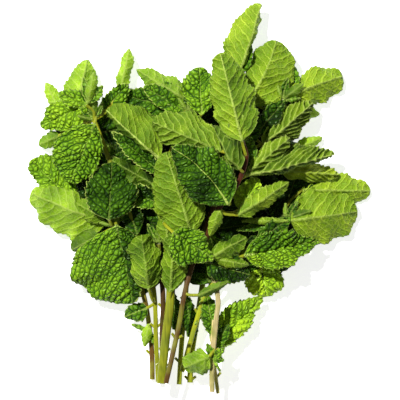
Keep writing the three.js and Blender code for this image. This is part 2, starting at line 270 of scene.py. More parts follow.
def vein_pattern(tree, plan, spacing, cell):
    """The vein pattern of a mint leaf, for a material or for Geometry Nodes, in mm.

    plan is the place on the leaf: across from the midrib, along from the foot, and the leaf's own offset.
    Returns how far away the nearest side vein and the nearest fine vein are.
    """
    place = add(tree, "ShaderNodeSeparateXYZ", {0: plan})
    across = add(tree, "ShaderNodeMath", {0: place.outputs[0]}, operation="ABSOLUTE")
    lean = add(tree, "ShaderNodeMath", {0: across, 1: VEIN_CURVE, 2: VEIN_LEAN}, operation="MULTIPLY_ADD")
    reach = add(tree, "ShaderNodeMath", {0: across, 1: lean}, operation="MULTIPLY")
    start = add(tree, "ShaderNodeMath", {0: place.outputs[1], 1: reach}, operation="SUBTRACT")
    # Veins aren't drawn with a ruler: they wander to and fro over every few mm
    wander = add(tree, "ShaderNodeTexNoise", {"Vector": plan, "Scale": 0.16, "Detail": 1.0})
    shifted = add(tree, "ShaderNodeMath", {0: wander, 1: VEIN_WANDER, 2: start}, operation="MULTIPLY_ADD")
    hand = add(tree, "ShaderNodeMath", {0: place.outputs[0]}, operation="SIGN")
    count = add(tree, "ShaderNodeMath", {0: shifted, 1: spacing}, operation="DIVIDE")
    # The two veins of a pair leave the midrib a little apart
    staggered = add(tree, "ShaderNodeMath", {0: hand, 1: PAIR_STAGGER, 2: count}, operation="MULTIPLY_ADD")
    nearest = add(tree, "ShaderNodeMath", {0: staggered, 1: 0.5}, operation="PINGPONG")
    apart = add(tree, "ShaderNodeMath", {0: nearest, 1: spacing}, operation="MULTIPLY")
    side = add(tree, "ShaderNodeMath", {0: apart, 1: SIDE_VEIN_ANGLE}, operation="MULTIPLY")
    # Fine veins make a net of round cells between the side veins
    offset = add(tree, "ShaderNodeMath", {0: place.outputs[0], 1: place.outputs[2]}, operation="ADD")
    net_place = add(tree, "ShaderNodeCombineXYZ", {0: offset, 1: place.outputs[1]})
    scale = add(tree, "ShaderNodeMath", {0: 1.0, 1: cell}, operation="DIVIDE")
    net = add(
        tree, "ShaderNodeTexVoronoi", {"Vector": net_place, "Scale": scale, "Randomness": 0.95},
        voronoi_dimensions="2D", feature="DISTANCE_TO_EDGE",
    )
    fine = add(tree, "ShaderNodeMath", {0: net.outputs["Distance"], 1: cell}, operation="MULTIPLY")
    return side.outputs[0], fine.outputs[0]


def relief_tree():
    """Geometry Nodes that quilt a leaf between its veins and raise the veins on its under side."""
    inputs = (
        ("Leaf", "Geometry"),
        ("Vein Spacing", "Float"),
        ("Cell Size", "Float"),
        ("Panel Height", "Float"),
        ("Cell Height", "Float"),
        ("Rib Height", "Float"),
        ("Upper Side", "Material"),
        ("Under Side", "Material"),
    )
    tree = new_tree("Mint Leaf Relief", inputs, "Leaf")
    leaf = add(tree, "NodeGroupInput")
    spacing = leaf.outputs["Vein Spacing"]
    plan, lift, rib, sheet, is_upper = (
        add(tree, "GeometryNodeInputNamedAttribute", {0: name}, data_type=kind).outputs[0]
        for name, kind in (
            ("leaf_plan", "FLOAT_VECTOR"),
            ("leaf_lift", "FLOAT_VECTOR"),
            ("leaf_rib", "FLOAT"),
            ("leaf_sheet", "FLOAT"),
            ("upper_side", "BOOLEAN"),
        )
    )
    side, fine = vein_pattern(tree, plan, spacing, leaf.outputs["Cell Size"])
    half_panel = add(tree, "ShaderNodeMath", {0: spacing, 1: SIDE_VEIN_ANGLE / 2}, operation="MULTIPLY")
    half_cell = add(
        tree, "ShaderNodeMath", {0: leaf.outputs["Cell Size"], 1: RELIEF_FLANK}, operation="MULTIPLY"
    )
    panel = add(tree, "ShaderNodeMapRange", {0: side, 1: 0.0, 2: half_panel}, **SMOOTH)
    cell = add(tree, "ShaderNodeMapRange", {0: fine, 1: 0.0, 2: half_cell}, **SMOOTH)
    off_rib = add(tree, "ShaderNodeMapRange", {0: rib, 1: 0.5, 2: 2.2}, **SMOOTH)
    panels = add(tree, "ShaderNodeMath", {0: panel, 1: leaf.outputs["Panel Height"]}, operation="MULTIPLY")
    cells = add(
        tree, "ShaderNodeMath", {0: cell, 1: leaf.outputs["Cell Height"], 2: panels}, operation="MULTIPLY_ADD"
    )
    domed = add(tree, "ShaderNodeMath", {0: cells, 1: off_rib}, operation="MULTIPLY")
    # On the under sheet alone, the midrib and the side veins stand out of the blade
    below = add(tree, "ShaderNodeMath", {0: sheet, 1: -1.0}, operation="MULTIPLY", use_clamp=True)
    on_rib = add(tree, "ShaderNodeMath", {0: 1.0, 1: off_rib}, operation="SUBTRACT")
    on_side = add(tree, "ShaderNodeMapRange", {0: side, 1: 0.1, 2: 0.55, 3: 1.0, 4: 0.0}, **SMOOTH)
    side_share = add(tree, "ShaderNodeMath", {0: on_side, 1: 0.4}, operation="MULTIPLY")
    ridge = add(tree, "ShaderNodeMath", {0: on_rib, 1: side_share}, operation="MAXIMUM")
    full = add(tree, "ShaderNodeMath", {0: ridge, 1: leaf.outputs["Rib Height"]}, operation="MULTIPLY")
    ridges = add(tree, "ShaderNodeMath", {0: full, 1: below}, operation="MULTIPLY")
    height = add(tree, "ShaderNodeMath", {0: domed, 1: ridges}, operation="SUBTRACT")
    metres = add(tree, "ShaderNodeMath", {0: height, 1: MM}, operation="MULTIPLY")
    offset = add(tree, "ShaderNodeVectorMath", {0: lift, "Scale": metres}, operation="SCALE")
    moved = add(tree, "GeometryNodeSetPosition", {"Geometry": leaf.outputs["Leaf"], "Offset": offset})
    real = add(tree, "GeometryNodeRealizeInstances", {0: moved})
    under = add(tree, "GeometryNodeSetMaterial", {"Geometry": real, "Material": leaf.outputs["Under Side"]})
    upper = add(
        tree, "GeometryNodeSetMaterial",
        {"Geometry": under, "Selection": is_upper, "Material": leaf.outputs["Upper Side"]},
    )
    add(tree, "NodeGroupOutput", {0: upper})
    return tree


def stem_tree():
    """Geometry Nodes that draw a square stem with rounded corners along a path, with flat cut ends."""
    inputs = (
        ("Path", "Geometry"),
        ("Width", "Float"),
        ("Corner Radius", "Float"),
        ("Bark", "Material"),
        ("Cut End", "Material"),
    )
    tree = new_tree("Square Mint Stem", inputs, "Stem")
    stem = add(tree, "NodeGroupInput")
    girth = add(tree, "GeometryNodeInputNamedAttribute", {0: "girth"}, data_type="FLOAT")
    curve = add(tree, "GeometryNodeMeshToCurve", {"Mesh": stem.outputs["Path"]})
    swollen = add(tree, "GeometryNodeSetCurveRadius", {"Curve": curve, "Radius": girth})
    square = add(
        tree, "GeometryNodeCurvePrimitiveQuadrilateral",
        {"Width": stem.outputs["Width"], "Height": stem.outputs["Width"]}, mode="RECTANGLE",
    )
    section = add(
        tree, "GeometryNodeFilletCurve",
        {"Curve": square, "Radius": stem.outputs["Corner Radius"], "Count": 3}, mode="POLY",
    )
    body = add(
        tree, "GeometryNodeCurveToMesh", {"Curve": swollen, "Profile Curve": section, "Fill Caps": True}
    )
    real = add(tree, "GeometryNodeRealizeInstances", {0: body})
    bark = add(tree, "GeometryNodeSetMaterial", {"Geometry": real, "Material": stem.outputs["Bark"]})
    # Only the two caps have more than four corners
    corners = add(tree, "GeometryNodeInputMeshFaceNeighbors")
    cap = add(
        tree, "FunctionNodeCompare", {2: corners.outputs["Vertex Count"], 3: 4},
        data_type="INT", operation="GREATER_THAN",
    )
    cut = add(
        tree, "GeometryNodeSetMaterial",
        {"Geometry": bark, "Selection": cap, "Material": stem.outputs["Cut End"]},
    )
    add(tree, "NodeGroupOutput", {0: cut})
    return tree


def run_tree(name, mesh, tree, values):
    """A plain object made by a Geometry Nodes tree from a mesh, with the tree's named inputs set."""
    piece = bpy.data.objects.new(name, mesh)
    bpy.context.scene.collection.objects.link(piece)
    modifier = piece.modifiers.new("Nodes", "NODES")
    modifier.node_group = tree
    for socket in tree.interface.items_tree:
        if socket.in_out == "INPUT" and socket.name in values:
            modifier[socket.identifier] = values[socket.name]
    evaluated = piece.evaluated_get(bpy.context.evaluated_depsgraph_get())
    made = bpy.data.meshes.new_from_object(evaluated)
    piece.modifiers.remove(modifier)
    piece.data = made
    made.name = name
    made.shade_smooth()
    return piece


# ---------------------------------------------------------------- materials


def new_material(name):
    material = bpy.data.materials.new(name)
    material.use_nodes = True
    material.node_tree.nodes.clear()
    return material


def blade_color(tree, plan, tone, valley, side, off_vein, blade, vein):
    """The colour of a leaf's blade and of its fine veins, in the leaf's own tone, with its patches."""
    # The lightest leaves hardly show the net, as painted light that comes through it
    faded = add(tree, "ShaderNodeMapRange", {0: tone, 1: 0.1, 2: 0.9, 3: 0.0, 4: 0.7})
    shown = add(tree, "ShaderNodeMath", {0: off_vein, 1: faded}, operation="MAXIMUM")
    # On the upper side the fine veins take the groove colour, which holds painted shade in the hollows
    netted = add(
        tree, "ShaderNodeMix", {0: shown, COLOR_A: opaque(vein), COLOR_B: opaque(blade)}, data_type="RGBA"
    )
    # Leaves are never one green all over: they have patches of about 10 mm
    patches = add(tree, "ShaderNodeTexNoise", {"Vector": plan, "Scale": 0.1, "Detail": 3.0})
    patch_hue, patch_value = (
        add(
            tree, "ShaderNodeMapRange",
            {"Value": patches, "From Min": 0.3, "From Max": 0.7, "To Min": first, "To Max": last},
        )
        for first, last in (PATCH_HUES, PATCH_VALUES)
    )
    hue = add(tree, "ShaderNodeMath", {0: tone, 1: TONE_HUE, 2: patch_hue}, operation="MULTIPLY_ADD")
    own = add(tree, "ShaderNodeMath", {0: tone, 1: TONE_VALUE, 2: patch_value}, operation="MULTIPLY_ADD")
    # Between strong side veins the blade is painted darker, as painted shade where it lies deep
    shade = add(tree, "ShaderNodeMapRange", {0: side, 1: 0.4, 2: 1.5, 3: 0.0, 4: PAINTED_VALLEY_SHADE}, **SMOOTH)
    shaded = add(tree, "ShaderNodeMath", {0: shade, 1: valley, 2: own}, operation="MULTIPLY_ADD")
    value = add(tree, "ShaderNodeMath", {0: shaded, 1: DARKEST}, operation="MAXIMUM")
    return add(tree, "ShaderNodeHueSaturation", {"Hue": hue, "Value": value, "Color": netted})


def with_ribs(tree, toned, own, valley, side, rib):
    """The blade's colour with the pale midrib, margin and side veins of a ribbed leaf laid over it."""
    rib_place = add(tree, "ShaderNodeAttribute", attribute_name="leaf_rib").outputs["Fac"]
    on_rib = add(tree, "ShaderNodeMapRange", {0: rib_place, 1: 0.5, 2: 1.1, 3: 1.0, 4: 0.0}, **SMOOTH)
    midrib_share = add(tree, "ShaderNodeMath", {0: on_rib, 1: own.outputs[1]}, operation="MULTIPLY")
    on_side = add(tree, "ShaderNodeMapRange", {0: side, 1: 0.15, 2: 0.7, 3: 0.55, 4: 0.0}, **SMOOTH)
    side_share = add(tree, "ShaderNodeMath", {0: on_side, 1: valley}, operation="MULTIPLY")
    rib_share = add(tree, "ShaderNodeMath", {0: midrib_share, 1: side_share}, operation="MAXIMUM")
    ribbed = add(
        tree, "ShaderNodeMix", {0: rib_share, COLOR_A: toned, COLOR_B: opaque(rib)}, data_type="RGBA"
    )
    edge = add(tree, "ShaderNodeAttribute", attribute_name="leaf_edge").outputs["Fac"]
    on_edge = add(tree, "ShaderNodeMapRange", {0: edge, 1: 0.25, 2: 0.8, 3: 1.0, 4: 0.0}, **SMOOTH)
    edge_share = add(tree, "ShaderNodeMath", {0: on_edge, 1: own.outputs[2]}, operation="MULTIPLY")
    return add(
        tree, "ShaderNodeMix", {0: edge_share, COLOR_A: ribbed, COLOR_B: opaque(rib)}, data_type="RGBA"
    )


def leaf_material(name, blade, vein, rib, sunken, roughness, bump_mm, light_through, glow):
    """Skin of a mint leaf: a net of fine veins round small bumps, side veins and a pale midrib.

    sunken says whether the veins are grooves, as on the upper side, and not ridges. bump_mm is how high the
    bumps are, light_through the share of the light that comes through the blade, and glow its colour.
    """
    settings = bpy.context.scene.mint_leaf
    material = new_material(name)
    tree = material.node_tree
    plan = add(tree, "ShaderNodeAttribute", attribute_name="leaf_plan").outputs["Vector"]
    look = add(tree, "ShaderNodeAttribute", attribute_name="leaf_look").outputs["Vector"]
    valley = add(tree, "ShaderNodeAttribute", attribute_name="leaf_valley").outputs["Fac"]
    # The leaf's own tone, and how pale its midrib and its margin are
    own = add(tree, "ShaderNodeSeparateXYZ", {0: look})
    cell_mm = settings.cell / MM
    side, fine = vein_pattern(tree, plan, settings.vein_spacing / MM, cell_mm)
    off_fine = add(tree, "ShaderNodeMapRange", {0: fine, 1: 0.02, 2: GROOVE_SHARE * cell_mm}, **SMOOTH)
    off_side = add(tree, "ShaderNodeMapRange", {0: side, 1: 0.08, 2: 0.5}, **SMOOTH)
    off_vein = add(tree, "ShaderNodeMath", {0: off_fine, 1: off_side}, operation="MULTIPLY")
    toned = blade_color(tree, plan, own.outputs[0], valley, side, off_vein, blade, vein)
    color = with_ribs(tree, toned, own, valley, side, rib)
    # Short hairs and skin cells of about 0.3 mm break up the gloss
    grain = add(tree, "ShaderNodeTexNoise", {"Vector": plan, "Scale": 3.0, "Detail": 2.0})
    rough = add(
        tree, "ShaderNodeMapRange",
        {
            "Value": grain, "From Min": 0.3, "From Max": 0.7,
            "To Min": roughness - 0.07, "To Max": roughness + 0.09,
        },
    )
    # The veins are hairier than the blade between them, and so duller
    on_vein = add(tree, "ShaderNodeMath", {0: 1.0, 1: off_vein}, operation="SUBTRACT")
    duller = add(tree, "ShaderNodeMath", {0: on_vein, 1: 0.35, 2: rough}, operation="MULTIPLY_ADD")
    dome = add(tree, "ShaderNodeMapRange", {0: fine, 1: 0.0, 2: BUMP_FLANK * cell_mm}, **SMOOTH)
    domed = add(tree, "ShaderNodeMath", {0: dome, 1: off_side}, operation="MULTIPLY")
    raised = domed if sunken else on_vein
    height = add(tree, "ShaderNodeMath", {0: grain, 1: 0.18, 2: raised}, operation="MULTIPLY_ADD")
    normal = add(tree, "ShaderNodeBump", {"Strength": 0.8, "Distance": bump_mm * MM, "Height": height})
    skin = add(
        tree, "ShaderNodeBsdfPrincipled",
        {
            "Base Color": color,
            "Roughness": duller,
            "Specular IOR Level": 0.3,
            "Specular Tint": opaque(linear("#cfe8b0")),
            "Normal": normal,
        },
    )
    through = add(tree, "ShaderNodeMix", {0: 0.5, COLOR_A: color, COLOR_B: opaque(glow)}, data_type="RGBA")
    behind = add(tree, "ShaderNodeBsdfTranslucent", {"Color": through, "Normal": normal})
    blend = add(tree, "ShaderNodeMixShader", {0: light_through, 1: skin, 2: behind})
    add(tree, "ShaderNodeOutputMaterial", {"Surface": blend})
    return material


def bark_material(name, color, flush):
    """Skin of a mint stem: smooth, with fine ridges and streaks along it and a flush of another hue."""
    material = new_material(name)
    tree = material.node_tree
    place = add(tree, "ShaderNodeTexCoord").outputs["Object"]
    tone = add(tree, "ShaderNodeAttribute", attribute_name="stem_tone").outputs["Fac"]
    # Streaks 0.35 mm wide and some 7 mm long: the stems lie along Y
    drawn_out = add(tree, "ShaderNodeMapping", {"Vector": place, "Scale": (1.0, 0.05, 1.0)})
    streaks = add(tree, "ShaderNodeTexNoise", {"Vector": drawn_out, "Scale": 1 / (0.7 * MM), "Detail": 3.0})
    flushes = add(tree, "ShaderNodeTexNoise", {"Vector": place, "Scale": 1 / (14 * MM), "Detail": 2.0})
    share = add(tree, "ShaderNodeMapRange", {0: flushes, 1: 0.42, 2: 0.68}, **SMOOTH)
    mixed = add(
        tree, "ShaderNodeMix", {0: share, COLOR_A: opaque(color), COLOR_B: opaque(flush)}, data_type="RGBA"
    )
    streak_value = add(
        tree, "ShaderNodeMapRange",
        {"Value": streaks, "From Min": 0.25, "From Max": 0.75, "To Min": 0.72, "To Max": 1.3},
    )
    value = add(tree, "ShaderNodeMath", {0: tone, 1: 0.6, 2: streak_value}, operation="MULTIPLY_ADD")
    toned = add(tree, "ShaderNodeHueSaturation", {"Value": value, "Color": mixed})
    normal = add(tree, "ShaderNodeBump", {"Strength": 0.5, "Distance": 0.25 * MM, "Height": streaks})
    skin = add(
        tree, "ShaderNodeBsdfPrincipled",
        {"Base Color": toned, "Roughness": 0.42, "Specular IOR Level": 0.2, "Normal": normal},
    )
    add(tree, "ShaderNodeOutputMaterial", {"Surface": skin})
    return material


def pith_material(name, color):
    """Freshly cut end of a stem: pale, moist pith with a grain of about 0.4 mm."""
    material = new_material(name)
    tree = material.node_tree
    place = add(tree, "ShaderNodeTexCoord").outputs["Object"]
    grain = add(tree, "ShaderNodeTexNoise", {"Vector": place, "Scale": 1 / (0.8 * MM), "Detail": 2.0})
    share = add(tree, "ShaderNodeMapRange", {0: grain, 1: 0.35, 2: 0.7}, **SMOOTH)
    dull = tuple(0.55 * c for c in color)
    mixed = add(
        tree, "ShaderNodeMix", {0: share, COLOR_A: opaque(color), COLOR_B: opaque(dull)}, data_type="RGBA"
    )
    normal = add(tree, "ShaderNodeBump", {"Strength": 0.6, "Distance": 0.2 * MM, "Height": grain})
    flesh = add(
        tree, "ShaderNodeBsdfPrincipled",
        {"Base Color": mixed, "Roughness": 0.5, "IOR": 1.4, "Normal": normal},
    )
    add(tree, "ShaderNodeOutputMaterial", {"Surface": flesh})
    return material


def finish(name):
    """The material of that name, made once."""
    if name in bpy.data.materials:
        return bpy.data.materials[name]
    leaf = bpy.context.scene.mint_leaf
    stem = bpy.context.scene.mint_stem
    glow = linear("#b4e02a")
    young_glow = linear("#cdf03c")
    makers = {
        "Mint leaf upper side": lambda: leaf_material(
            name, leaf.upper, leaf.upper_groove_shade, leaf.rib,
            sunken=True, roughness=0.29, bump_mm=0.7, light_through=0.12, glow=glow,
        ),
        "Mint leaf under side": lambda: leaf_material(
            name, leaf.under, leaf.under_vein, leaf.rib,
            sunken=False, roughness=0.5, bump_mm=0.45, light_through=0.16, glow=glow,
        ),
        "Young mint leaf": lambda: leaf_material(
            name, leaf.young, leaf.young_vein, leaf.rib,
            sunken=False, roughness=0.46, bump_mm=0.22, light_through=0.34, glow=young_glow,
        ),
        "Green mint stem": lambda: bark_material(name, stem.green, linear("#6f7a1c")),
        "Brown mint stem": lambda: bark_material(name, stem.brown, linear("#86882a")),
        "Straw mint stem": lambda: bark_material(name, stem.straw, linear("#8f9440")),
        "Red mint stem": lambda: bark_material(name, stem.red, linear("#6b4a22")),
        "Cut mint pith": lambda: pith_material(name, stem.pith),
    }
    return makers[name]()


# ---------------------------------------------------------------- shapes from the CAD


def nodes_called(prefix):
    """The names of the CAD nodes that start with a prefix, in order."""
    return sorted(name for name in frame["nodes"] if name.startswith(prefix))


def slot_of(node):
    """The material slot of a CAD node."""
    return frame["nodes"][node].data.materials[0].name.split(".")[0]


def steps_of(line):
    """The distance from each point of a line to the next."""
    return np.linalg.norm(np.diff(line, axis=0), axis=1)


def walk(line):
    """How far each point of a line is from its start, along the line."""
    return np.concatenate([[0], np.cumsum(steps_of(line))])


def point_on(line, places, place):
    """The point of a line at a place, where each of its own points has its place in places."""
    return np.array([np.interp(place, places, line[:, axis]) for axis in range(3)])


def rings_of(node, around):
    """The rings of points of a CAD leaf or stem, in order. The first and last are its two end points."""
    shape = bmesh.new()
    shape.from_mesh(frame["nodes"][node].data)
    bmesh.ops.remove_doubles(shape, verts=shape.verts, dist=WELD)
    start = next(v for v in shape.verts if len(v.link_edges) == around)
    after = {}
    for face in start.link_faces:
        corners = list(face.verts)
        i = corners.index(start)
        after[corners[(i + 1) % 3]] = corners[(i + 2) % 3]
    ring = [next(iter(after))]
    while len(ring) < around:
        ring.append(after[ring[-1]])
    seen = {start}
    rings = [[start.co.copy()] * around]
    while len(set(ring)) > 1:
        rings.append([v.co.copy() for v in ring])
        seen.update(ring)
        ring = [straight_on(v, seen) for v in ring]
    rings.append([ring[0].co.copy()] * around)
    shape.free()
    return np.array(rings)


def straight_on(vertex, seen):
    """The vertex of the next ring in the same column."""
    for face in vertex.link_faces:
        corners = list(face.verts)
        if sum(v in seen for v in corners) == 1:
            return corners[(corners.index(vertex) + 1) % 3]
    beyond = [edge.other_vert(vertex) for edge in vertex.link_edges]
    return next(v for v in beyond if v not in seen)


def leaf_rows(node):
    """The middle surface of a CAD leaf: rows of points from left margin to right, and from foot to tip."""
    rings = rings_of(node, LEAF_AROUND)
    # The margins are the two opposite columns that lie the furthest apart
    widths = [np.linalg.norm(rings[:, c] - rings[:, c + COLUMNS], axis=1).sum() for c in range(COLUMNS)]
    margin = int(np.argmax(widths))
    ahead = [(margin + j) % LEAF_AROUND for j in range(COLUMNS + 1)]
    back = [(margin - j) % LEAF_AROUND for j in range(COLUMNS + 1)]
    rows = (rings[:, ahead] + rings[:, back]) / 2
    # The foot is thicker than the tip
    depth = np.linalg.norm(rings[:, ahead[MIDRIB]] - rings[:, back[MIDRIB]], axis=1)
    if depth[1] < depth[-2]:
        rows = rows[::-1]
    run = rows[-1, MIDRIB] - rows[0, MIDRIB]
    across = (rows[:, 0] - rows[:, -1]).sum(0)
    if np.cross(run, across)[2] < 0:
        rows = rows[:, ::-1]
    return rows


def stem_path(node):
    """The centre line of a CAD stem, from its cut end."""
    centres = rings_of(node, STEM_AROUND)[1:-1].mean(1)
    return centres if centres[0, 1] < centres[-1, 1] else centres[::-1]


def blade_width(rows):
    """The width of a leaf at its widest row."""
    return np.linalg.norm(np.diff(rows, axis=1), axis=2).sum(1).max()


def smooth(points, places, even=True):
    """Points of a smooth curve through points, at fractional places. even makes it level at both ends."""
    first = points[1] if even else 2 * points[0] - points[1]
    last = points[-2] if even else 2 * points[-1] - points[-2]
    padded = np.concatenate([[first], points, [last]])
    i = np.clip(np.floor(places).astype(int), 0, len(points) - 2)
    t = (places - i).reshape(-1, *[1] * (points.ndim - 1))
    a, b, c, d = (padded[i + k] for k in range(4))
    return b + t * ((c - a) + t * ((2 * a - 5 * b + 4 * c - d) + t * (3 * b - 3 * c + d - a))) / 2


# ---------------------------------------------------------------- leaves

# How one leaf differs from the others: tone from dark (-1) to light (1), partly its own colour and partly
# painted light and shade, how pale its midrib is, how pale its margin is, how strongly it is quilted between
# the fine veins and between the side veins, how strongly it is folded along the midrib, how much lighter its
# left half is painted, as painted light and shade, how steeply its side veins run, and how much narrower
# than the CAD leaf it is towards its tip
Look = namedtuple(
    "Look", "tone rib edge quilt panel fold left steep point",
    defaults=(0.0, 0.6, 0.35, 1.0, 1.0, 1.0, 0.0, 1.0, 0.15),
)

# The tones hold painted light and shade: some leaves that lie in shade are painted lighter, and those low in
# the heap darker
LOOKS = {
    "leaf_centre_dark": Look(-1.0, 0.85, 0.5, 0.9, 1.4, 1.5, -0.1, point=0.3),
    "leaf_centre_tip": Look(-0.1, 0.3, 0.5, 1.4, point=0.75),
    "leaf_left_quilted": Look(-1.1, 0.2, 0.8, 1.9),
    "leaf_left_hero": Look(-0.02, 0.3, 0.3, 1.9, 0.8),
    "leaf_left_lower": Look(-0.7, 0.3, 0.6, 1.0, 1.6, 1.8, -0.6),
    "leaf_left_bud": Look(0.4, 0.3, 0.3, 1.6, 0.6, point=0.4),
    "leaf_left_shaded": Look(0.4, 0.3, 0.2, 1.0, 1.6),
    "leaf_left_edge": Look(-0.05, 0.3, 0.8, 1.0, 1.0, 1.2, -0.3),
    "leaf_top_centre": Look(0.05, 0.4, 0.2, 1.5),
    "leaf_foot_fold": Look(1.0, 0.5, 0.4, 0.9, 1.6, 0.8, -0.3),
    "leaf_foot_right": Look(0.75, 0.8, 0.3, 0.3, 2.0, 1.3, -0.25, 1.3, 0.4),
    "leaf_foot_curl": Look(-0.9, 0.5, 0.5, 1.0),
    "leaf_right_low": Look(-0.1, 0.75, 0.4, 0.9, 1.6, 1.8, -0.4, 1.4, 0.5),
    "leaf_inner_rib": Look(0.8, 0.5, 0.3, 0.8, 1.6),
    "leaf_inner_foot": Look(-1.15, 0.3, 0.2, 0.6),
    "leaf_below_1": Look(-0.6),
    "leaf_below_2": Look(-1.0),
    "leaf_below_3": Look(-0.4),
    "leaf_below_4": Look(-0.4),
    "leaf_below_6": Look(-0.3),
    "leaf_hero_pale": Look(-0.12, 0.8, 0.4, 1.6, 1.6, 1.4, 0.15, 1.2),
    "leaf_crown_right": Look(0.08, 0.6, 0.3, 1.2, 0.7, 1.2, -0.1, point=0.0),
    "leaf_crown_tall": Look(0.2, 0.8, 0.2, 0.7),
    "leaf_right_far_top": Look(0.35, 0.6, 0.2, 1.2, 0.5, point=0.0),
    "leaf_right_far": Look(0.35, 0.5, 0.2, 0.8, 0.7, point=0.0),
    "leaf_right_broad": Look(0.1, 0.6, 0.2, 1.0, 0.8, 1.0, -0.15, point=0.0),
    "leaf_centre_olive": Look(-0.3, 0.5, 0.3, 1.5, 0.8),
    "leaf_centre_arch": Look(-0.35, 0.35, 0.3, 1.2, 2.6, 1.2, -0.2, 1.3),
    "leaf_inner_left": Look(-0.5, 1.0, 0.3, 0.8, 1.6, 1.6, -0.25, 1.5),
    "leaf_centre_low": Look(-0.4, 0.4, 0.4, 1.4),
    "leaf_foot_olive": Look(-0.4, 0.3, 0.6, 1.4, 0.8, 1.8, point=-0.6),
    "leaf_right_long": Look(-0.45, 0.8, 0.9, 0.3, 5.0, 1.8, 0.2, 2.0, 0.3),
    "leaf_right_curl": Look(1.1, 0.6, 0.8, 0.3, 4.0, 1.5, 0.15, 2.0, 0.3),
    "leaf_right_ribbed": Look(-0.15, 0.8, 0.9, 0.3, 5.0, 1.4, 0.2, 2.0, 0.3),
    "leaf_centre_side": Look(-0.85, 0.4, 0.4, 0.6, 2.4, 1.0, 0.0, 1.6),
    "leaf_inner_small": Look(-0.5, 0.5, 0.3, 0.8),
    "leaf_inner_pale": Look(0.1, 0.5, 0.4, 0.5),
    "leaf_left_top": Look(0.0, 0.7, 0.1, 0.9, 0.7, point=0.4),
    "leaf_left_far_top": Look(0.1, 0.7, 0.1, 0.5, 0.5, point=0.4),
    "leaf_top_narrow": Look(0.1, 0.8, 0.1, 0.4, 0.5),
    "leaf_left_bright": Look(-0.1, 0.8, 0.1, 0.5, 0.9, point=0.0),
    "leaf_left_far_mid": Look(-0.5, 0.5, 0.1, 0.7),
    "leaf_top_mid": Look(-0.35, 0.5, 0.1, 1.0, point=0.5),
    "leaf_left_low": Look(-1.1, 0.5, 0.2, 0.7),
    "leaf_foot_left": Look(-0.2, 0.5, 0.2, 0.6),
    "leaf_right_bud_1": Look(0.3, 0.5, 0.2, 0.6),
    "leaf_right_bud_2": Look(0.3, 0.5, 0.2, 0.6),
    "leaf_foot_roll": Look(-0.8, 0.5, 0.2, 0.5),
}

UPPER, UNDER, YOUNG = "leaf_upper", "leaf_under", "young_leaf"

# The finest grid that a leaf gets: the step along and across it, and the fewest and most steps there are
STATION_STEP = 0.5 * MM
STATIONS = (30, 84)
LINE_STEP = 0.95 * MM
HALF_LINES = (6, 22)

# Teeth, in shares of the tooth depth and of the half width
BROADENED = 0.65  # how far the margins move out, to make up for the notches
NOTCH_SHARPNESS = 1.3
DEEPEST_NOTCH = 0.35
TOOTH_LEAN = 0.5  # how far the teeth point to the tip
TOOTHED_FROM = 0.7  # the notches reach in no further than this
TEETH_GROW = (0.12, 0.24)  # shares of the length between which the teeth grow to full size
TEETH_SHRINK = 0.5  # how much smaller they are at the tip
NARROW_ROWS = (1.2 * MM, 3 * MM)  # half widths between which the margins begin to move out

# Bends of a blade. Each sets in between two shares of the length
WAVE_LENGTHS = (9, 14)  # mm
WAVES_BEGIN = (0.1, 0.3)
SWELL_LENGTHS = (15, 20)  # mm
SWELL_SLANT = 0.35  # how far a swell runs ahead at the left margin, as a share of its length
SWELLS_BEGIN = (0.05, 0.3)
CREASE_BEGINS = (0.08, 0.25)
CREASE_REACH = 2.2 * MM
CALM_WIDTH = 18 * MM  # a leaf narrower than this bends less
LOWEST_BLADE = 0.8 * MM  # the middle of a blade over the ground
POINTED_FROM = 0.45  # share of the length where a leaf begins to get narrower than the CAD leaf

STALK_DEPTH = 1.5 * MM  # thickness of a leaf's foot, where its stalk begins
STALK_END = (0.02, 0.09)  # shares of the length between which the stalk flattens into the blade
MARGIN_THINS = 6  # the higher, the nearer to the margin a blade stays at its full thickness
RIB_HALF = 0.7  # mm, half the width of the midrib at the foot
RIB_TAPER = 0.42  # mm, how much less it is at the tip
RELIEF_BEGINS = (0.03, 0.12)  # shares of the length between which the relief sets in
RELIEF_ENDS = (0.97, 1.0)
PATTERN_APART = 7.3  # mm from one leaf's place in the patterns to the next one's
FULL_RELIEF_WIDTH = 16 * MM  # a leaf narrower than this has a lower relief
UNDER_RELIEF = (0.75, 0.5)  # shares of the cells' and the panels' height on a leaf with its under side up


def broadened(rows, extra):
    """Rows of a leaf with each margin moved outward by extra, and less where the leaf is narrow."""
    wider = rows.copy()
    middle = rows[:, MIDRIB : MIDRIB + 1]
    for near, columns in ((0, slice(0, MIDRIB)), (COLUMNS, slice(MIDRIB + 1, None))):
        reach = np.linalg.norm(rows[:, near] - rows[:, MIDRIB], axis=1)
        factor = extra * ease(reach, *NARROW_ROWS) / np.maximum(reach, MM)
        wider[:, columns] += (rows[:, columns] - middle) * factor[:, None, None]
    return wider


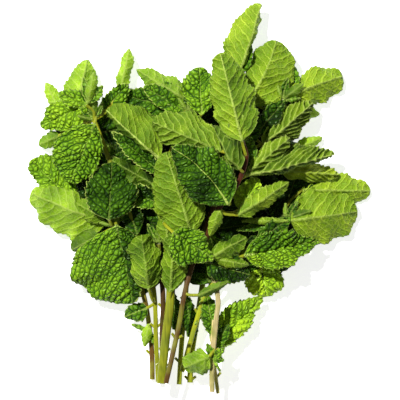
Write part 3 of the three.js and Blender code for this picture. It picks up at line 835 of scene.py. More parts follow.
def toothed_grid(rows, along, across, random):
    """The grid of points over a leaf's rows, one row for each station, with teeth along its two margins."""
    settings = bpy.context.scene.mint_leaf
    pull = np.zeros((len(along), 2))
    lean = np.zeros((len(along), 2))
    grown = ease(along, *TEETH_GROW) * (1 - TEETH_SHRINK * along)
    for side, column in enumerate((0, COLUMNS)):
        margin = rows[:, column]
        tooth = (walk(margin) / settings.tooth_pitch + random.random()) % 1
        reach = np.maximum(np.linalg.norm(margin - rows[:, MIDRIB], axis=1), 0.5 * MM)
        notch = settings.tooth_depth * grown * (1 - tooth) ** NOTCH_SHARPNESS
        pull[:, side] = np.minimum(notch / reach, DEEPEST_NOTCH)
        lean[:, side] = settings.tooth_depth * TOOTH_LEAN * grown * (tooth - 0.5)
    near = ease(np.abs(across), TOOTHED_FROM, 1.0)
    pulls = np.where(across > 0, pull[:, :1], pull[:, 1:])
    leans = np.where(across > 0, lean[:, :1], lean[:, 1:]) * near
    places = np.arccos(np.clip(across * (1 - pulls * near), -1, 1)) / math.pi * COLUMNS
    grid = np.stack([smooth(row, row_places) for row, row_places in zip(rows, places)])
    ahead = np.gradient(grid, axis=0)
    ahead /= np.maximum(np.linalg.norm(ahead, axis=2, keepdims=True), 1e-9)
    return grid + ahead * leans[..., None]


def blade_bend(grid, along, across, length, width, turn, fold, random):
    """How far each point of a blade's grid is moved up: waves, the crease, broad swells and the fold.

    turn is -1 where the upper side is up, and 1 where the under side is.
    """
    settings = bpy.context.scene.mint_leaf
    waves = np.zeros(grid.shape[:2])
    for side in (1, -1):
        wave_length = random.uniform(*WAVE_LENGTHS) * MM
        start = random.uniform(0, 2 * math.pi)
        wave = np.sin(2 * math.pi * along * length / wave_length + start) * ease(along, *WAVES_BEGIN)
        waves += wave[:, None] * np.clip(side * across, 0, 1) ** 2
    # Narrow leaves, and the ends of all, bend less
    local = np.linalg.norm(grid[:, 0] - grid[:, -1], axis=1) / width
    calm = (min(1.0, width / CALM_WIDTH) * ease(local, 0.0, 0.8))[:, None]
    from_rib = np.abs(across) * width / 2
    hollow = np.exp(-((from_rib / CREASE_REACH) ** 2))[None, :]
    crease = hollow * (ease(along, *CREASE_BEGINS) * (1 - along))[:, None]
    bend = waves * settings.wave * calm + turn * settings.crease * calm * crease
    swell_turns = length / (random.uniform(*SWELL_LENGTHS) * MM)
    slanted = along[:, None] * swell_turns + SWELL_SLANT * across[None, :]
    swell = np.sin(2 * math.pi * (slanted + random.random()))
    open_share = ease(along, *SWELLS_BEGIN)[:, None]
    bend += settings.swell * calm * swell * open_share
    bend -= turn * fold * settings.fold * calm * (local[:, None] * np.abs(across)[None, :] - 0.5) * open_share
    return bend


def fine_grid(rows, seed, fineness, upper_up, look):
    """A smooth grid of points over a leaf's rows, with teeth and waves along its margins.

    Returns the grid, each point's share of the length, and its place from 1 at the left margin to -1.
    """
    rows = broadened(rows, BROADENED * bpy.context.scene.mint_leaf.tooth_depth)
    taper = 1 - look.point * ease(np.arange(len(rows)) / (len(rows) - 1), POINTED_FROM, 1.0)
    middle = rows[:, MIDRIB : MIDRIB + 1]
    rows = middle + (rows - middle) * taper[:, None, None]
    length = steps_of(rows[:, MIDRIB]).sum()
    width = blade_width(rows)
    stations = int(fineness * np.clip(length / STATION_STEP, *STATIONS))
    lines = 2 * int(fineness * np.clip(width / LINE_STEP, *HALF_LINES))
    along = np.linspace(0, 1, stations + 1)
    across = np.linspace(1, -1, lines + 1)
    stretched = smooth(rows, np.arccos(1 - 2 * along) / math.pi * (len(rows) - 1))
    random = np.random.default_rng(seed)
    grid = toothed_grid(stretched, along, across, random)
    turn = -1.0 if upper_up else 1.0
    bend = blade_bend(grid, along, across, length, width, turn, look.fold, random)
    grid += normals_of(grid) * bend[..., None]
    grid[..., 2] = np.maximum(grid[..., 2], LOWEST_BLADE)
    return grid, along, across


def normals_of(grid):
    """Normals of a grid whose rows go from left to right as seen along the leaf, on its upward side."""
    ahead = np.gradient(grid, axis=0)
    left = -np.gradient(grid, axis=1)
    normals = np.cross(ahead, left)
    lengths = np.linalg.norm(normals, axis=2, keepdims=True)
    normals /= np.maximum(lengths, 1e-15)
    normals[0] = normals[1]
    normals[-1] = normals[-2]
    return normals


def sheet_faces(top, bottom, foot, tip):
    """The faces of a closed blade between its foot and its tip, and whether each is on the top.

    top and bottom hold the numbers of the points in each row, and share the first and the last of a row.
    """
    lines = len(top[0]) - 1
    faces, is_top = [], []
    for rows, up in ((top, True), (bottom, False)):
        fans = [(foot, rows[0][j + 1], rows[0][j]) for j in range(lines)]
        fans += [(tip, rows[-1][j], rows[-1][j + 1]) for j in range(lines)]
        quads = [
            (rows[i][j], rows[i][j + 1], rows[i + 1][j + 1], rows[i + 1][j])
            for i in range(len(rows) - 1)
            for j in range(lines)
        ]
        whole = fans + quads
        faces += whole if up else [face[::-1] for face in whole]
        is_top += [up] * len(whole)
    return faces, np.array(is_top)


def sheet_mesh(name, grid, along, across, upper_up, look, seed):
    """A thin closed blade over a grid, with what its relief and its material need to know at each point."""
    settings = bpy.context.scene.mint_leaf
    stations, lines = grid.shape[0] - 1, grid.shape[1] - 1
    half = lines // 2
    normals = normals_of(grid)
    steps = np.linalg.norm(np.diff(grid, axis=1), axis=2) / MM
    from_left = np.concatenate([np.zeros((stations + 1, 1)), np.cumsum(steps, axis=1)], axis=1)
    from_rib = from_left - from_left[:, half : half + 1]
    from_edge = np.minimum(from_left, from_left[:, -1:] - from_left)
    up_rib = walk(grid[:, half]) / MM
    # The blade thins out to its margins, and its foot thickens to the round of a stalk
    stalk = 1 - ease(along, *STALK_END)
    blade_depth = settings.sheet * (1 - np.abs(across) ** MARGIN_THINS)
    stalk_depth = STALK_DEPTH * np.sqrt(np.clip(1 - across**2, 0, 1))
    depth = blade_depth + stalk[:, None] * (stalk_depth - blade_depth)
    rib_half = RIB_HALF - RIB_TAPER * along
    fade = ease(along, *RELIEF_BEGINS) * (1 - ease(along, *RELIEF_ENDS))
    turn = 1.0 if upper_up else -1.0
    points, plan, lift, rib, edge, sheet = [], [], [], [], [], []

    def put(i, j, side):
        points.append(grid[i, j] + normals[i, j] * depth[i, j] / 2 * side)
        plan.append((from_rib[i, j] * look.steep, up_rib[i], PATTERN_APART * (seed % 97)))
        lift.append(normals[i, j] * turn * fade[i])
        rib.append(abs(from_rib[i, j]) / rib_half[i])
        edge.append(from_edge[i, j])
        sheet.append(side * turn)
        return len(points) - 1

    foot = put(0, half, 0)
    tip = put(stations, half, 0)
    top = [[put(i, j, 0 if j in (0, lines) else 1) for j in range(lines + 1)] for i in range(1, stations)]
    bottom = [
        [row[0], *(put(i, j, -1) for j in range(1, lines)), row[-1]] for i, row in enumerate(top, 1)
    ]
    faces, is_top = sheet_faces(top, bottom, foot, tip)
    mesh = bpy.data.meshes.new(name)
    mesh.from_pydata([tuple(p) for p in points], [], faces)
    count = len(points)
    # Painted light and shade: one half of the blade lighter and the other darker, as if folded to and from
    # the key light
    tones = look.tone - look.left * np.tanh(np.array(plan)[:, 0] / 2)
    own = np.stack([tones, np.full(count, look.rib), np.full(count, look.edge)], axis=1)
    write(mesh, "leaf_plan", "FLOAT_VECTOR", plan)
    write(mesh, "leaf_lift", "FLOAT_VECTOR", lift)
    write(mesh, "leaf_look", "FLOAT_VECTOR", own)
    # How ribbed the leaf is: it sets the painted shade between the side veins, and how pale they are
    write(mesh, "leaf_valley", "FLOAT", np.full(count, np.clip((look.panel - 1.5) / 3, 0, 1)))
    write(mesh, "leaf_rib", "FLOAT", rib)
    write(mesh, "leaf_edge", "FLOAT", edge)
    write(mesh, "leaf_sheet", "FLOAT", sheet)
    write(mesh, "upper_side", "BOOLEAN", is_top == upper_up, domain="FACE")
    return mesh


def write(mesh, name, kind, values, domain="POINT"):
    """Stores values as an attribute of a mesh."""
    attribute = mesh.attributes.new(name, kind, domain)
    key = "vector" if kind == "FLOAT_VECTOR" else "value"
    attribute.data.foreach_set(key, np.asarray(values, bool if kind == "BOOLEAN" else float).ravel())


def make_leaf(name, rows, slot, look, seed, fineness=1.0):
    """One leaf as a closed blade with its relief and its two finishes."""
    settings = bpy.context.scene.mint_leaf
    tree = bpy.data.node_groups.get("Mint Leaf Relief") or relief_tree()
    upper_up = slot == UPPER
    grid, along, across = fine_grid(rows, seed, fineness, upper_up, look)
    mesh = sheet_mesh(name, grid, along, across, upper_up, look, seed)
    small = min(1.0, blade_width(rows) / FULL_RELIEF_WIDTH)
    cell_share, panel_share = (1.0, 1.0) if upper_up else UNDER_RELIEF
    leaf = run_tree(name, mesh, tree, {
        "Vein Spacing": settings.vein_spacing / MM,
        "Cell Size": settings.cell / MM,
        "Panel Height": settings.panel_height / MM * look.panel * small * panel_share,
        "Cell Height": settings.cell_height / MM * look.quilt * small * cell_share,
        "Rib Height": settings.rib_height / MM * small,
        "Upper Side": finish("Young mint leaf" if slot == YOUNG else "Mint leaf upper side"),
        "Under Side": finish("Young mint leaf" if slot == YOUNG else "Mint leaf under side"),
    })
    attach(leaf, "root")
    return leaf


def dress_leaves(slot):
    """Leaves that take the place of the CAD leaves with that slot."""
    assert slot in {m["slot"] for m in frame["record"]["materials"]}, f"the record has no slot {slot}"
    for seed, node in enumerate(nodes_called("leaf_")):
        if slot_of(node) == slot:
            name = node.replace("leaf_", "mint_leaf_")
            leaf = make_leaf(name, leaf_rows(node), slot, LOOKS.get(node, Look()), seed)
            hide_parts(node)


# ---------------------------------------------------------------- stems

NODE_REACH = 1.5 * MM  # how far a node's swelling reaches along the stem
STEM_STEP = 1.2 * MM
BARE_SHARE = 0.93  # the width of a stem between its nodes, as a share of the CAD stem's
FIRST_CUT = 0.4  # where the first stem and each next one was cut, as shares of the node spacing
NEXT_CUT = 0.618

# From dark (-1) to light (1): partly each stem's own colour and partly painted light and shade, lighter for
# stems that lie in shade
STEM_TONES = {
    "stem_1": 0.1,
    "stem_3": -0.3,
    "stem_4": -0.8,
    "stem_5": -0.35,
    "stem_7": 0.6,
    "stem_8": 0.6,
    "stem_10": 0.4,
    "stem_11": -0.2,
    "stem_12": 0.3,
    "stem_main": -1.0,
}

STEM_FINISHES = {
    "stem_11": "Straw mint stem",
    "stem_12": "Straw mint stem",
    "stem_main": "Red mint stem",
    "stem_4": "Brown mint stem",
    "stem_5": "Brown mint stem",
}


def first_node(stem):
    """How far the lowest node of a CAD stem is from its cut end: each stem was cut at its own place."""
    place = FIRST_CUT + NEXT_CUT * nodes_called("stem_").index(stem)
    return place % 1 * bpy.context.scene.mint_stem.node_spacing


def make_stem(name, path, width, tone, lowest=None, skin="Green mint stem"):
    """A square stem along a path, thicker at each node from the lowest on, with both ends cut off flat."""
    settings = bpy.context.scene.mint_stem
    tree = bpy.data.node_groups.get("Square Mint Stem") or stem_tree()
    length = steps_of(path).sum()
    count = max(8, int(length / STEM_STEP))
    line = smooth(path, np.linspace(0, len(path) - 1, count), even=False)
    girth = np.ones(count)
    if lowest is not None:
        half = settings.node_spacing / 2
        apart = (np.linspace(0, length, count) - lowest + half) % settings.node_spacing - half
        girth += settings.node_swelling * np.exp(-((apart / NODE_REACH) ** 2))
    mesh = bpy.data.meshes.new(name)
    mesh.from_pydata([tuple(p) for p in line], [(i, i + 1) for i in range(count - 1)], [])
    write(mesh, "girth", "FLOAT", girth)
    write(mesh, "stem_tone", "FLOAT", np.full(count, tone))
    stem = run_tree(name, mesh, tree, {
        "Width": width,
        "Corner Radius": width * settings.corner,
        "Bark": finish(skin),
        "Cut End": finish("Cut mint pith"),
    })
    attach(stem, "root")
    return stem


def dress_stems():
    """Stems that take the place of the CAD stems."""
    half = STEM_AROUND // 2
    for node in nodes_called("stem_"):
        rings = rings_of(node, STEM_AROUND)[1:-1]
        width = np.mean([np.linalg.norm(rings[:, c] - rings[:, c + half], axis=1) for c in range(half)])
        slot = slot_of(node)
        usual = "Brown mint stem" if slot == "stem_brown" else "Green mint stem"
        skin = STEM_FINISHES.get(node, usual)
        tone = STEM_TONES.get(node, 0.0)
        path = stem_path(node)
        stem = make_stem("mint_" + node, path, BARE_SHARE * width, tone, first_node(node), skin)
        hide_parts(node)


# ---------------------------------------------------------------- small growth

LEAFY_FROM = -45 * MM  # the stems are bare below this place along Y
GROUND_GAP = 0.5 * MM
LEAF_ROWS = 10  # rows of a grown leaf, as a CAD leaf of full size has them
STALK_SHARE = 0.07  # of a leaf's length
SMALL_FINENESS = 0.7  # share of the grid of a leaf that is seen whole

# Leaves deep in the heap, painted dark as shade
DEEP_FINENESS = 0.45
DEEP_LENGTHS = (24, 36)  # mm
DEEP_SPREADS = (38, 70)  # degrees off the stem, by turns
DEEP_STRAY = 10  # degrees that a leaf may stand more or less off it
DEEP_DROPS = (5, 9)  # mm from the foot down to the tip
# Painted shade: their tones are as dark as the shade deep in the heap
DEEP_SHADE_TONES = (-1.5, -1.2)
DEEP_HALF = 0.31  # half width, as a share of the length
DEEPEST_FOOT = 12 * MM  # a deep leaf grows no higher than this
INSIDE_REACH = 8 * MM  # how far round a place is_inside looks
INSIDE_LOOKS = 8  # in how many directions
INSIDE_HITS = 6  # how many of them must find a leaf

LONGEST_STALK = 26 * MM
TIP_LEAVES = ((-48, 9, 0.5), (-16, 13, 1.5), (22, 11, 1), (55, 8, 0))  # degrees off the stem, mm long, mm up
TIP_HALF = 0.19  # half width of a leaf at a shoot tip, as a share of its length
STUB_TURN = 48  # degrees off the stem
STUB_WIDTH = 1.3 * MM


def grown_rows(foot, tip, half, rise, arch=2 * MM, wide=0.45):
    """Rows of points for a leaf that grows from foot to tip, laid out as those of a CAD leaf."""
    share = np.arange(LEAF_ROWS + 1) / LEAF_ROWS
    along = (1 - np.cos(math.pi * share))[:, None] / 2
    control = (foot + tip) / 2 + np.array([0, 0, 2 * arch])
    spine = (1 - along) ** 2 * foot + 2 * along * (1 - along) * control + along**2 * tip
    heading = np.gradient(spine, axis=0)
    side = np.stack([-heading[:, 1], heading[:, 0], np.zeros(len(heading))], axis=1)
    side /= np.linalg.norm(side, axis=1, keepdims=True)
    blade = np.clip((along[:, 0] - STALK_SHARE) / (1 - STALK_SHARE), 0, 1)
    full = np.sin(math.pi * blade ** (math.log(0.5) / math.log(wide))).clip(0) ** 0.5
    reach = np.maximum(half * full, 0.8 * MM)
    reach[[0, -1]] = 0
    across = np.cos(math.pi * np.arange(COLUMNS + 1) / COLUMNS)
    rows = spine[:, None] + side[:, None] * (across * reach[:, None])[..., None]
    rows[..., 2] += rise * full[:, None] * np.abs(across) ** 1.5
    rows[..., 2] = np.maximum(rows[..., 2], GROUND_GAP)
    return rows


def turned(heading, degrees):
    """The direction in plan that lies so many degrees to the left of a heading, as a unit vector."""
    angle = math.atan2(heading[1], heading[0]) + math.radians(degrees)
    return np.array([math.cos(angle), math.sin(angle), 0.0])


def stem_nodes(spacing, staggered=False):
    """Places that far apart along each CAD stem, with the way that the stem points there.

    The first is that far from the cut end, or where staggered, at the stem's lowest node.
    """
    for name in nodes_called("stem_"):
        path = stem_path(name)
        walked = walk(path)
        start = first_node(name) if staggered else spacing
        for k, reach in enumerate(np.arange(start, walked[-1], spacing), 1):
            i = min(int(np.searchsorted(walked, reach)), len(path) - 1)
            yield name, k, point_on(path, walked, reach), path[i] - path[i - 1]


def leaf_cover():
    """All CAD leaves in one search tree, to ask what lies over a place."""
    corners, faces = [], []
    for name in nodes_called("leaf_"):
        mesh = frame["nodes"][name].data
        first = len(corners)
        corners += [v.co.copy() for v in mesh.vertices]
        faces += [[first + i for i in face.vertices] for face in mesh.polygons]
    return BVHTree.FromPolygons(corners, faces)


def is_inside(place, cover):
    """Whether CAD leaves lie over the ground nearly all round a place."""
    hits = 0
    for angle in np.arange(INSIDE_LOOKS) * 2 * math.pi / INSIDE_LOOKS:
        x = place[0] + INSIDE_REACH * math.cos(angle)
        y = place[1] + INSIDE_REACH * math.sin(angle)
        hits += cover.ray_cast(Vector((x, y, -MM)), Vector((0, 0, 1)))[0] is not None
    return hits >= INSIDE_HITS


def keeps_inside(rows, cover):
    """Whether a leaf's tip and both its margins at the widest place stay inside the outline of the bunch."""
    middle = len(rows) // 2
    return all(is_inside(place, cover) for place in (rows[-1, 0], rows[middle, 0], rows[middle, COLUMNS]))


def grow_deep_leaves():
    """Leaves inside the heap, in pairs at and between the nodes: each pair stands across the one below it,
    painted dark as shade.
    """
    random = np.random.default_rng(5)
    cover = leaf_cover()
    for stem, k, place, heading in stem_nodes(bpy.context.scene.mint_stem.node_spacing / 2):
        spread = DEEP_SPREADS[k % 2]
        for side, hand in ((1, "left"), (-1, "right")):
            length = random.uniform(*DEEP_LENGTHS) * MM
            way = turned(heading, side * (spread + random.uniform(-DEEP_STRAY, DEEP_STRAY)))
            foot = place + way * MM - np.array([0, 0, MM])
            foot[2] = min(foot[2], DEEPEST_FOOT)
            tip = foot + way * length
            tip[2] = max(2 * MM, foot[2] - random.uniform(*DEEP_DROPS) * MM)
            look = Look(random.uniform(*DEEP_SHADE_TONES), 0.2, 0.1, 1.0)
            rows = grown_rows(foot, tip, DEEP_HALF * length, -2 * MM)
            if place[1] > LEAFY_FROM and keeps_inside(rows, cover):
                make_leaf(f"mint_deep_{stem}_{k}_{hand}", rows, UPPER, look, 400 + 7 * k, DEEP_FINENESS)


# A small leaf that grows from a place on a CAD piece, a share of the way along it: where it heads in
# degrees (0 to +X, 90 to +Y), its length, half width and height over that place in mm, the face that is
# turned up, and its look
Sprout = namedtuple("Sprout", "host share heading long half up slot look")

# The darkest of them fill gaps in the heap, and their dark tones are painted shade
SPROUTS = (
    # Folded leaves, and ones under them painted dark as shade, between the left-hand leaves and the middle
    Sprout("stem_3", 0.75, 140, 36, 4, 2, UPPER, Look(-0.95, 0.3, 1.0, 1.0, 1.0, 2.5, 0.3)),
    Sprout("stem_3", 0.7, 150, 34, 4, 2, UNDER, Look(-0.9, 0.3, 1.0, 1.0, 1.0, 2.5, 0.3)),
    Sprout("stem_3", 0.65, 160, 28, 5, 1, UPPER, Look(-0.9, 0.3, 1.0, 1.0, 1.0, 2.0, 0.3)),
    Sprout("stem_2", 0.7, 60, 20, 5, 2, UNDER, Look(-0.9, 0.3, 0.8)),
    Sprout("stem_2", 0.95, 10, 24, 8, -8, UPPER, Look(-1.2, 0.2, 0.2)),
    Sprout("stem_2", 0.95, 60, 22, 6, -9, UPPER, Look(-1.0, 0.2, 0.4)),
    Sprout("stem_2", 0.85, 340, 20, 6, -6, UPPER, Look(-1.2, 0.2, 0.2)),
    Sprout("stem_2", 0.8, 150, 16, 6, -8, UPPER, Look(-1.2, 0.2, 0.2)),
    Sprout("stem_10", 0.7, 60, 24, 8, 0, UPPER, Look(-1.3, 0.2, 0.1)),
    Sprout("stem_8", 0.9, 0, 20, 7, -8, UPPER, Look(-1.2, 0.2, 0.1)),
    Sprout("stem_5", 0.95, 20, 20, 7, -7, UPPER, Look(-1.1, 0.2, 0.1)),
    Sprout("stem_2", 0.55, 110, 22, 5, 2, UPPER, Look(-1.2, 0.2, 0.1)),
    Sprout("stem_3", 0.5, 95, 22, 4.5, 3, UNDER, Look(-0.4, 0.5, 0.3, 1.2)),
    Sprout("leaf_left_bright", 0.0, 150, 20, 5, 2, UNDER, Look(-0.1, 0.3, 0.4)),
    # Round the left-hand bud and along the top
    Sprout("leaf_left_bud", 0.0, 160, 16, 4, -2, UPPER, Look(0.2, 0.2, 0.3, 1.6)),
    Sprout("leaf_left_bud", 0.0, 100, 14, 2, 2, UPPER, Look(-0.4, 0.2, 0.8, 0.6)),
    Sprout("leaf_left_bud", 0.0, 80, 16, 2.5, 3, YOUNG, Look(-0.4, 0.5, 0.5, 0.5)),
    Sprout("leaf_left_bud", 0.0, 50, 12, 2.5, 2, UPPER, Look(-0.3, 0.4, 0.7, 0.6)),
    Sprout("stem_3", 1.0, 150, 26, 5, -1, UPPER, Look(-0.5, 0.2, 0.8, 1.4)),
    Sprout("stem_3", 1.0, 165, 36, 6, -4, UPPER, Look(-0.9, 0.2, 0.6, 1.2)),
    Sprout("stem_3", 1.0, 130, 20, 4.5, -2, UPPER, Look(-0.6, 0.2, 0.6, 1.4)),
    Sprout("leaf_crown_tall", 0.0, 70, 18, 3.5, -2, UPPER, Look(-0.6, 0.2, 0.2)),
    Sprout("leaf_right_far_top", 0.0, 70, 18, 4.5, -3, UPPER, Look(-0.6, 0.2, 0.2)),
    # Beside the main stem and among the right-hand leaves
    Sprout("stem_5", 0.85, 50, 24, 4.5, 3, UPPER, Look(-1.25, 0.2, 0.2)),
    Sprout("stem_5", 0.8, 70, 18, 4, 3, UPPER, Look(-1.1, 0.2, 0.2)),
    Sprout("leaf_right_long", 0.0, 40, 30, 6, -2, UNDER, Look(-0.1, 0.6, 0.8, 0.3, 4.5, 1.4, 0.2, 1.8)),
    Sprout("leaf_right_long", 0.0, 80, 20, 4, -3, UPPER, Look(-0.6, 0.3, 0.3, 0.8, 1.6)),
    Sprout("stem_main", 0.4, 250, 16, 3, 0, UNDER, Look(-0.1, 0.3, 0.5)),
    Sprout("leaf_right_broad", 0.0, 180, 24, 2, 1, UNDER, Look(-0.1, 0.3, 0.5)),
    Sprout("leaf_right_broad", 0.1, 190, 28, 2.5, -1, UPPER, Look(-0.7, 0.2, 0.3)),
    Sprout("leaf_right_broad", 0.0, 30, 24, 7, -10, UPPER, Look(-0.8, 0.2, 0.2)),
    Sprout("leaf_inner_small", 0.0, 350, 20, 3, -3, UNDER, Look(-0.1, 0.5, 0.3)),
    Sprout("stem_8", 0.8, 35, 22, 4, 2.5, UPPER, Look(-0.9, 0.2, 0.2)),
    # Round the foot: two that hang behind the stems, and torn ones beside them
    Sprout("stem_3", 0.35, 280, 26, 3, -11, UPPER, Look(-1.0, 0.2, 0.2)),
    Sprout("stem_5", 0.3, 280, 26, 3.5, -12, UPPER, Look(-0.9, 0.2, 0.2)),
    Sprout("stem_8", 0.25, 70, 24, 2, 1, UPPER, Look(0.0, 0.5, 0.6)),
    Sprout("stem_11", 0.4, 100, 22, 4, -4, UPPER, Look(-0.5, 0.5, 0.3, 0.7, 1.6)),
    Sprout("stem_11", 0.3, 60, 16, 3, -4, UPPER, Look(-0.8, 0.2, 0.2)),
    Sprout("stem_1", 0.35, 260, 12, 2.5, 2, YOUNG, Look(0.1, 0.5, 0.1, 0.4)),
    Sprout("stem_1", 0.3, 160, 10, 1.5, 1, UPPER, Look(-0.1, 0.2, 0.3)),
    Sprout("stem_1", 0.3, 290, 8, 1.5, 1, UPPER, Look(-0.2, 0.2, 0.3)),
    Sprout("stem_4", 0.3, 60, 8, 1.5, 0, UPPER, Look(-0.1, 0.2, 0.3)),
    Sprout("stem_11", 0.25, 40, 8, 2, 1, UPPER, Look(0.1, 0.2, 0.3)),
    Sprout("stem_11", 0.25, 110, 8, 2, 1, UPPER, Look(-0.1, 0.2, 0.3)),
    Sprout("stem_11", 0.25, 350, 6, 2, 1, UPPER, Look(0.1, 0.2, 0.3)),
    Sprout("stem_11", 0.25, 300, 8, 1, 0, UPPER, Look(0.0, 0.2, 0.3)),
)


def grow_sprouts():
    """The small leaves that fill the gaps between the large ones, and the torn ones at the foot."""
    for number, sprout in enumerate(SPROUTS):
        on_stem = sprout.host.startswith("stem_")
        line = stem_path(sprout.host) if on_stem else leaf_rows(sprout.host)[:, MIDRIB]
        place = point_on(line, np.linspace(0, 1, len(line)), sprout.share)
        foot = place + np.array([0, 0, sprout.up * MM])
        foot[2] = max(foot[2], 2 * MM)
        tip = foot + turned((1, 0), sprout.heading) * sprout.long * MM
        tip[2] = max(foot[2] - 0.1 * sprout.long * MM, MM)
        rows = grown_rows(foot, tip, sprout.half * MM, -0.25 * sprout.half * MM)
        name = f"mint_sprout_{number + 1}"
        make_leaf(name, rows, sprout.slot, sprout.look, 500 + number, SMALL_FINENESS)


def grow_shoot_tips():
    """The cluster of small folded leaves in which a stem ends."""
    # Painted shade: the tips lie deep among the leaves
    look = Look(-0.8, 0.4, 0.4, 0.5)
    for number, node in enumerate(nodes_called("stem_")):
        path = stem_path(node)
        if path[-1][1] < LEAFY_FROM:
            continue
        heading = path[-1] - path[-2]
        for k, (turn, length, rise) in enumerate(TIP_LEAVES):
            way = turned(heading, turn)
            foot = path[-1] + way * 0.6 * MM
            tip = foot + way * length * MM + np.array([0, 0, rise * MM])
            rows = grown_rows(foot, tip, TIP_HALF * length * MM, -0.4 * MM, arch=0.6 * MM)
            slot = YOUNG if k % 2 else UPPER
            make_leaf(f"mint_tip_{node}_{k + 1}", rows, slot, look, 700 + 4 * number + k, SMALL_FINENESS)


def grow_stalks():
    """The stalk of each CAD leaf, from the nearest stem to the foot of its blade."""
    stems = np.concatenate([stem_path(name) for name in nodes_called("stem_")])
    width = bpy.context.scene.mint_stem.stalk
    for node in nodes_called("leaf_"):
        foot, next_point = leaf_rows(node)[:2, MIDRIB]
        ahead = (next_point - foot) / np.linalg.norm(next_point - foot)
        apart = np.linalg.norm(stems - (foot - 5 * MM * ahead), axis=1)
        root = stems[np.argmin(apart)]
        length = np.linalg.norm(root - foot)
        if length < LONGEST_STALK:
            path = np.array([root, (root + foot) / 2 - ahead * 0.15 * length, foot + ahead * MM])
            path[:, 2] = np.maximum(path[:, 2], width / 2 + GROUND_GAP)
            make_stem(node.replace("leaf_", "mint_stalk_"), path, width, 0.15)


def grow_stubs():
    """Short ends of the stalks that were stripped from the bare part of the stems, in pairs at the nodes."""
    for stem, k, place, heading in stem_nodes(bpy.context.scene.mint_stem.node_spacing, staggered=True):
        for side, hand in ((1, "left"), (-1, "right")):
            way = turned(heading, side * STUB_TURN)
            path = place + way * np.array([[0], [1.6], [3.2 + 0.5 * (k % 2)]]) * MM
            path[2, 2] += 0.5 * MM
            if place[1] < LEAFY_FROM:
                make_stem(f"mint_stub_{stem}_{k}_{hand}", path, STUB_WIDTH, 0.1)


# ---------------------------------------------------------------- stage

KEY_FROM = (-0.45, 0.52, 1.0)  # towards the key light
KEY_SOFTNESS = 4  # degrees
AIM = (0.1 * MM, -0.7 * MM)  # where the camera looks, from the middle of the bunch
FLOOR_REACH = 3.0


def make_stage():
    """Pale floor that glows with painted light, key light from the upper left, even fill, and a camera that
    looks straight down.
    """
    settings = bpy.context.scene.mint_stage
    low, high = (Vector(corner) for corner in CAD_BOX)
    middle = (low + high) / 2
    scene = bpy.context.scene

    floor_mesh = bpy.data.meshes.new("floor")
    corners = [(x * FLOOR_REACH, y * FLOOR_REACH, low.z) for x, y in ((-1, -1), (1, -1), (1, 1), (-1, 1))]
    floor_mesh.from_pydata(corners, [], [(0, 1, 2, 3)])
    floor = bpy.data.objects.new("floor", floor_mesh)
    scene.collection.objects.link(floor)
    paper = new_material("White paper with painted glow")
    tree = paper.node_tree
    # The floor glows, as painted light from a light table below it, so that the bunch's shadow on it stays
    # pale
    surface = add(
        tree, "ShaderNodeBsdfPrincipled",
        {
            "Base Color": opaque((0.9, 0.9, 0.9)),
            "Roughness": 0.9,
            "Emission Color": opaque((1.0, 1.0, 1.0)),
            "Emission Strength": settings.table_light,
        },
    )
    add(tree, "ShaderNodeOutputMaterial", {"Surface": surface})
    floor_mesh.materials.append(paper)

    world = bpy.data.worlds.new("studio")
    scene.world = world
    world.use_nodes = True
    world.node_tree.nodes.clear()
    white = opaque((1.0, 1.0, 1.0))
    sky = add(world.node_tree, "ShaderNodeBackground", {"Color": white, "Strength": settings.fill})
    add(world.node_tree, "ShaderNodeOutputWorld", {"Surface": sky})

    key = bpy.data.lights.new("key", "SUN")
    key.energy = settings.key
    key.angle = math.radians(KEY_SOFTNESS)
    lamp = bpy.data.objects.new("key", key)
    scene.collection.objects.link(lamp)
    lamp.rotation_euler = Vector(KEY_FROM).to_track_quat("Z", "Y").to_euler()

    camera_data = bpy.data.cameras.new("camera")
    camera = bpy.data.objects.new("camera", camera_data)
    scene.collection.objects.link(camera)
    camera.location = (middle.x + AIM[0], middle.y + AIM[1], settings.camera_height)
    camera_data.lens = camera_data.sensor_width * (settings.camera_height - middle.z) / settings.view_width
    scene.camera = camera
    scene.view_settings.view_transform = "Standard"


# ---------------------------------------------------------------- operators


class MINT_OT_upper_leaves(bpy.types.Operator):
    """Make the leaves that show their dark, quilted upper side"""

    bl_idname = "mint.upper_leaves"
    bl_label = "Leaves With Upper Side Up"

    def execute(self, context):
        dress_leaves(UPPER)
        return {"FINISHED"}


class MINT_OT_under_leaves(bpy.types.Operator):
    """Make the leaves that show their paler under side, with its raised veins"""

    bl_idname = "mint.under_leaves"
    bl_label = "Leaves With Under Side Up"

    def execute(self, context):
        dress_leaves(UNDER)
        return {"FINISHED"}


class MINT_OT_young_leaves(bpy.types.Operator):
    """Make the bright young leaves round the bunch"""

    bl_idname = "mint.young_leaves"
    bl_label = "Young Leaves"

    def execute(self, context):
        dress_leaves(YOUNG)
        return {"FINISHED"}


class MINT_OT_stems(bpy.types.Operator):
    """Make the square stems with their nodes and cut ends"""

    bl_idname = "mint.stems"
    bl_label = "Stems"

    def execute(self, context):
        dress_stems()
        return {"FINISHED"}


class MINT_OT_stalks(bpy.types.Operator):
    """Join each leaf to the nearest stem with its stalk"""

    bl_idname = "mint.stalks"
    bl_label = "Leaf Stalks"

    def execute(self, context):
        grow_stalks()
        return {"FINISHED"}


class MINT_OT_deep_leaves(bpy.types.Operator):
    """Grow the leaves inside the heap, painted dark as shade"""

    bl_idname = "mint.deep_leaves"
    bl_label = "Leaves Inside the Heap"

    def execute(self, context):
        grow_deep_leaves()
        return {"FINISHED"}


class MINT_OT_sprouts(bpy.types.Operator):
    """Grow the small leaves between the large ones and round the foot"""

    bl_idname = "mint.sprouts"
    bl_label = "Small Leaves"

    def execute(self, context):
        grow_sprouts()
        return {"FINISHED"}


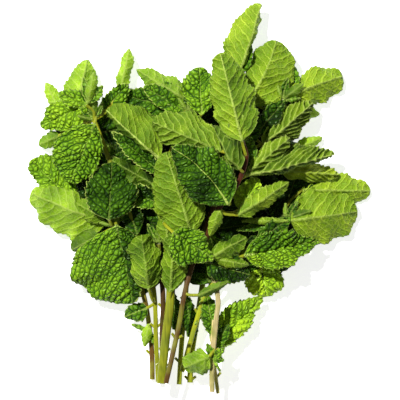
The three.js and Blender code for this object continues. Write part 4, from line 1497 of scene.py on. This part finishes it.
class MINT_OT_shoot_tips(bpy.types.Operator):
    """Grow the small folded leaves in which the stems end"""

    bl_idname = "mint.shoot_tips"
    bl_label = "Shoot Tips"

    def execute(self, context):
        grow_shoot_tips()
        return {"FINISHED"}


class MINT_OT_stubs(bpy.types.Operator):
    """Grow the short stalk ends on the bare part of the stems"""

    bl_idname = "mint.stubs"
    bl_label = "Stalk Stubs"

    def execute(self, context):
        grow_stubs()
        return {"FINISHED"}


class MINT_OT_stage(bpy.types.Operator):
    """Set up the floor, the lights and the camera"""

    bl_idname = "mint.stage"
    bl_label = "Stage"

    def execute(self, context):
        make_stage()
        return {"FINISHED"}


OPERATORS = (
    MINT_OT_upper_leaves,
    MINT_OT_under_leaves,
    MINT_OT_young_leaves,
    MINT_OT_stems,
    MINT_OT_stalks,
    MINT_OT_deep_leaves,
    MINT_OT_sprouts,
    MINT_OT_shoot_tips,
    MINT_OT_stubs,
    MINT_OT_stage,
)


class MINT_PT_sidebar(bpy.types.Panel):
    """Sizes, colours and steps of the mint bunch"""

    bl_label = "Cut Mint Bunch"
    bl_idname = "MINT_PT_sidebar"
    bl_space_type = "VIEW_3D"
    bl_region_type = "UI"
    bl_category = "Mint"

    def draw(self, context):
        for group in (context.scene.mint_leaf, context.scene.mint_stem, context.scene.mint_stage):
            box = self.layout.box()
            for name in group.bl_rna.properties.keys():
                if name not in ("rna_type", "name"):
                    box.prop(group, name)
        for operator in OPERATORS:
            self.layout.operator(operator.bl_idname)


CLASSES = (MintLeafSettings, MintStemSettings, MintStageSettings, *OPERATORS, MINT_PT_sidebar)


def register():
    for cls in CLASSES:
        bpy.utils.register_class(cls)
    bpy.types.Scene.mint_leaf = PointerProperty(type=MintLeafSettings)
    bpy.types.Scene.mint_stem = PointerProperty(type=MintStemSettings)
    bpy.types.Scene.mint_stage = PointerProperty(type=MintStageSettings)


def unregister():
    del bpy.types.Scene.mint_leaf
    del bpy.types.Scene.mint_stem
    del bpy.types.Scene.mint_stage
    for cls in reversed(CLASSES):
        bpy.utils.unregister_class(cls)


def main():
    register()
    bpy.ops.mint.stage()
    bpy.ops.mint.stems()
    bpy.ops.mint.upper_leaves()
    bpy.ops.mint.under_leaves()
    bpy.ops.mint.young_leaves()
    bpy.ops.mint.stalks()
    bpy.ops.mint.deep_leaves()
    bpy.ops.mint.sprouts()
    bpy.ops.mint.shoot_tips()
    bpy.ops.mint.stubs()


if __name__ == "__main__":
    main()
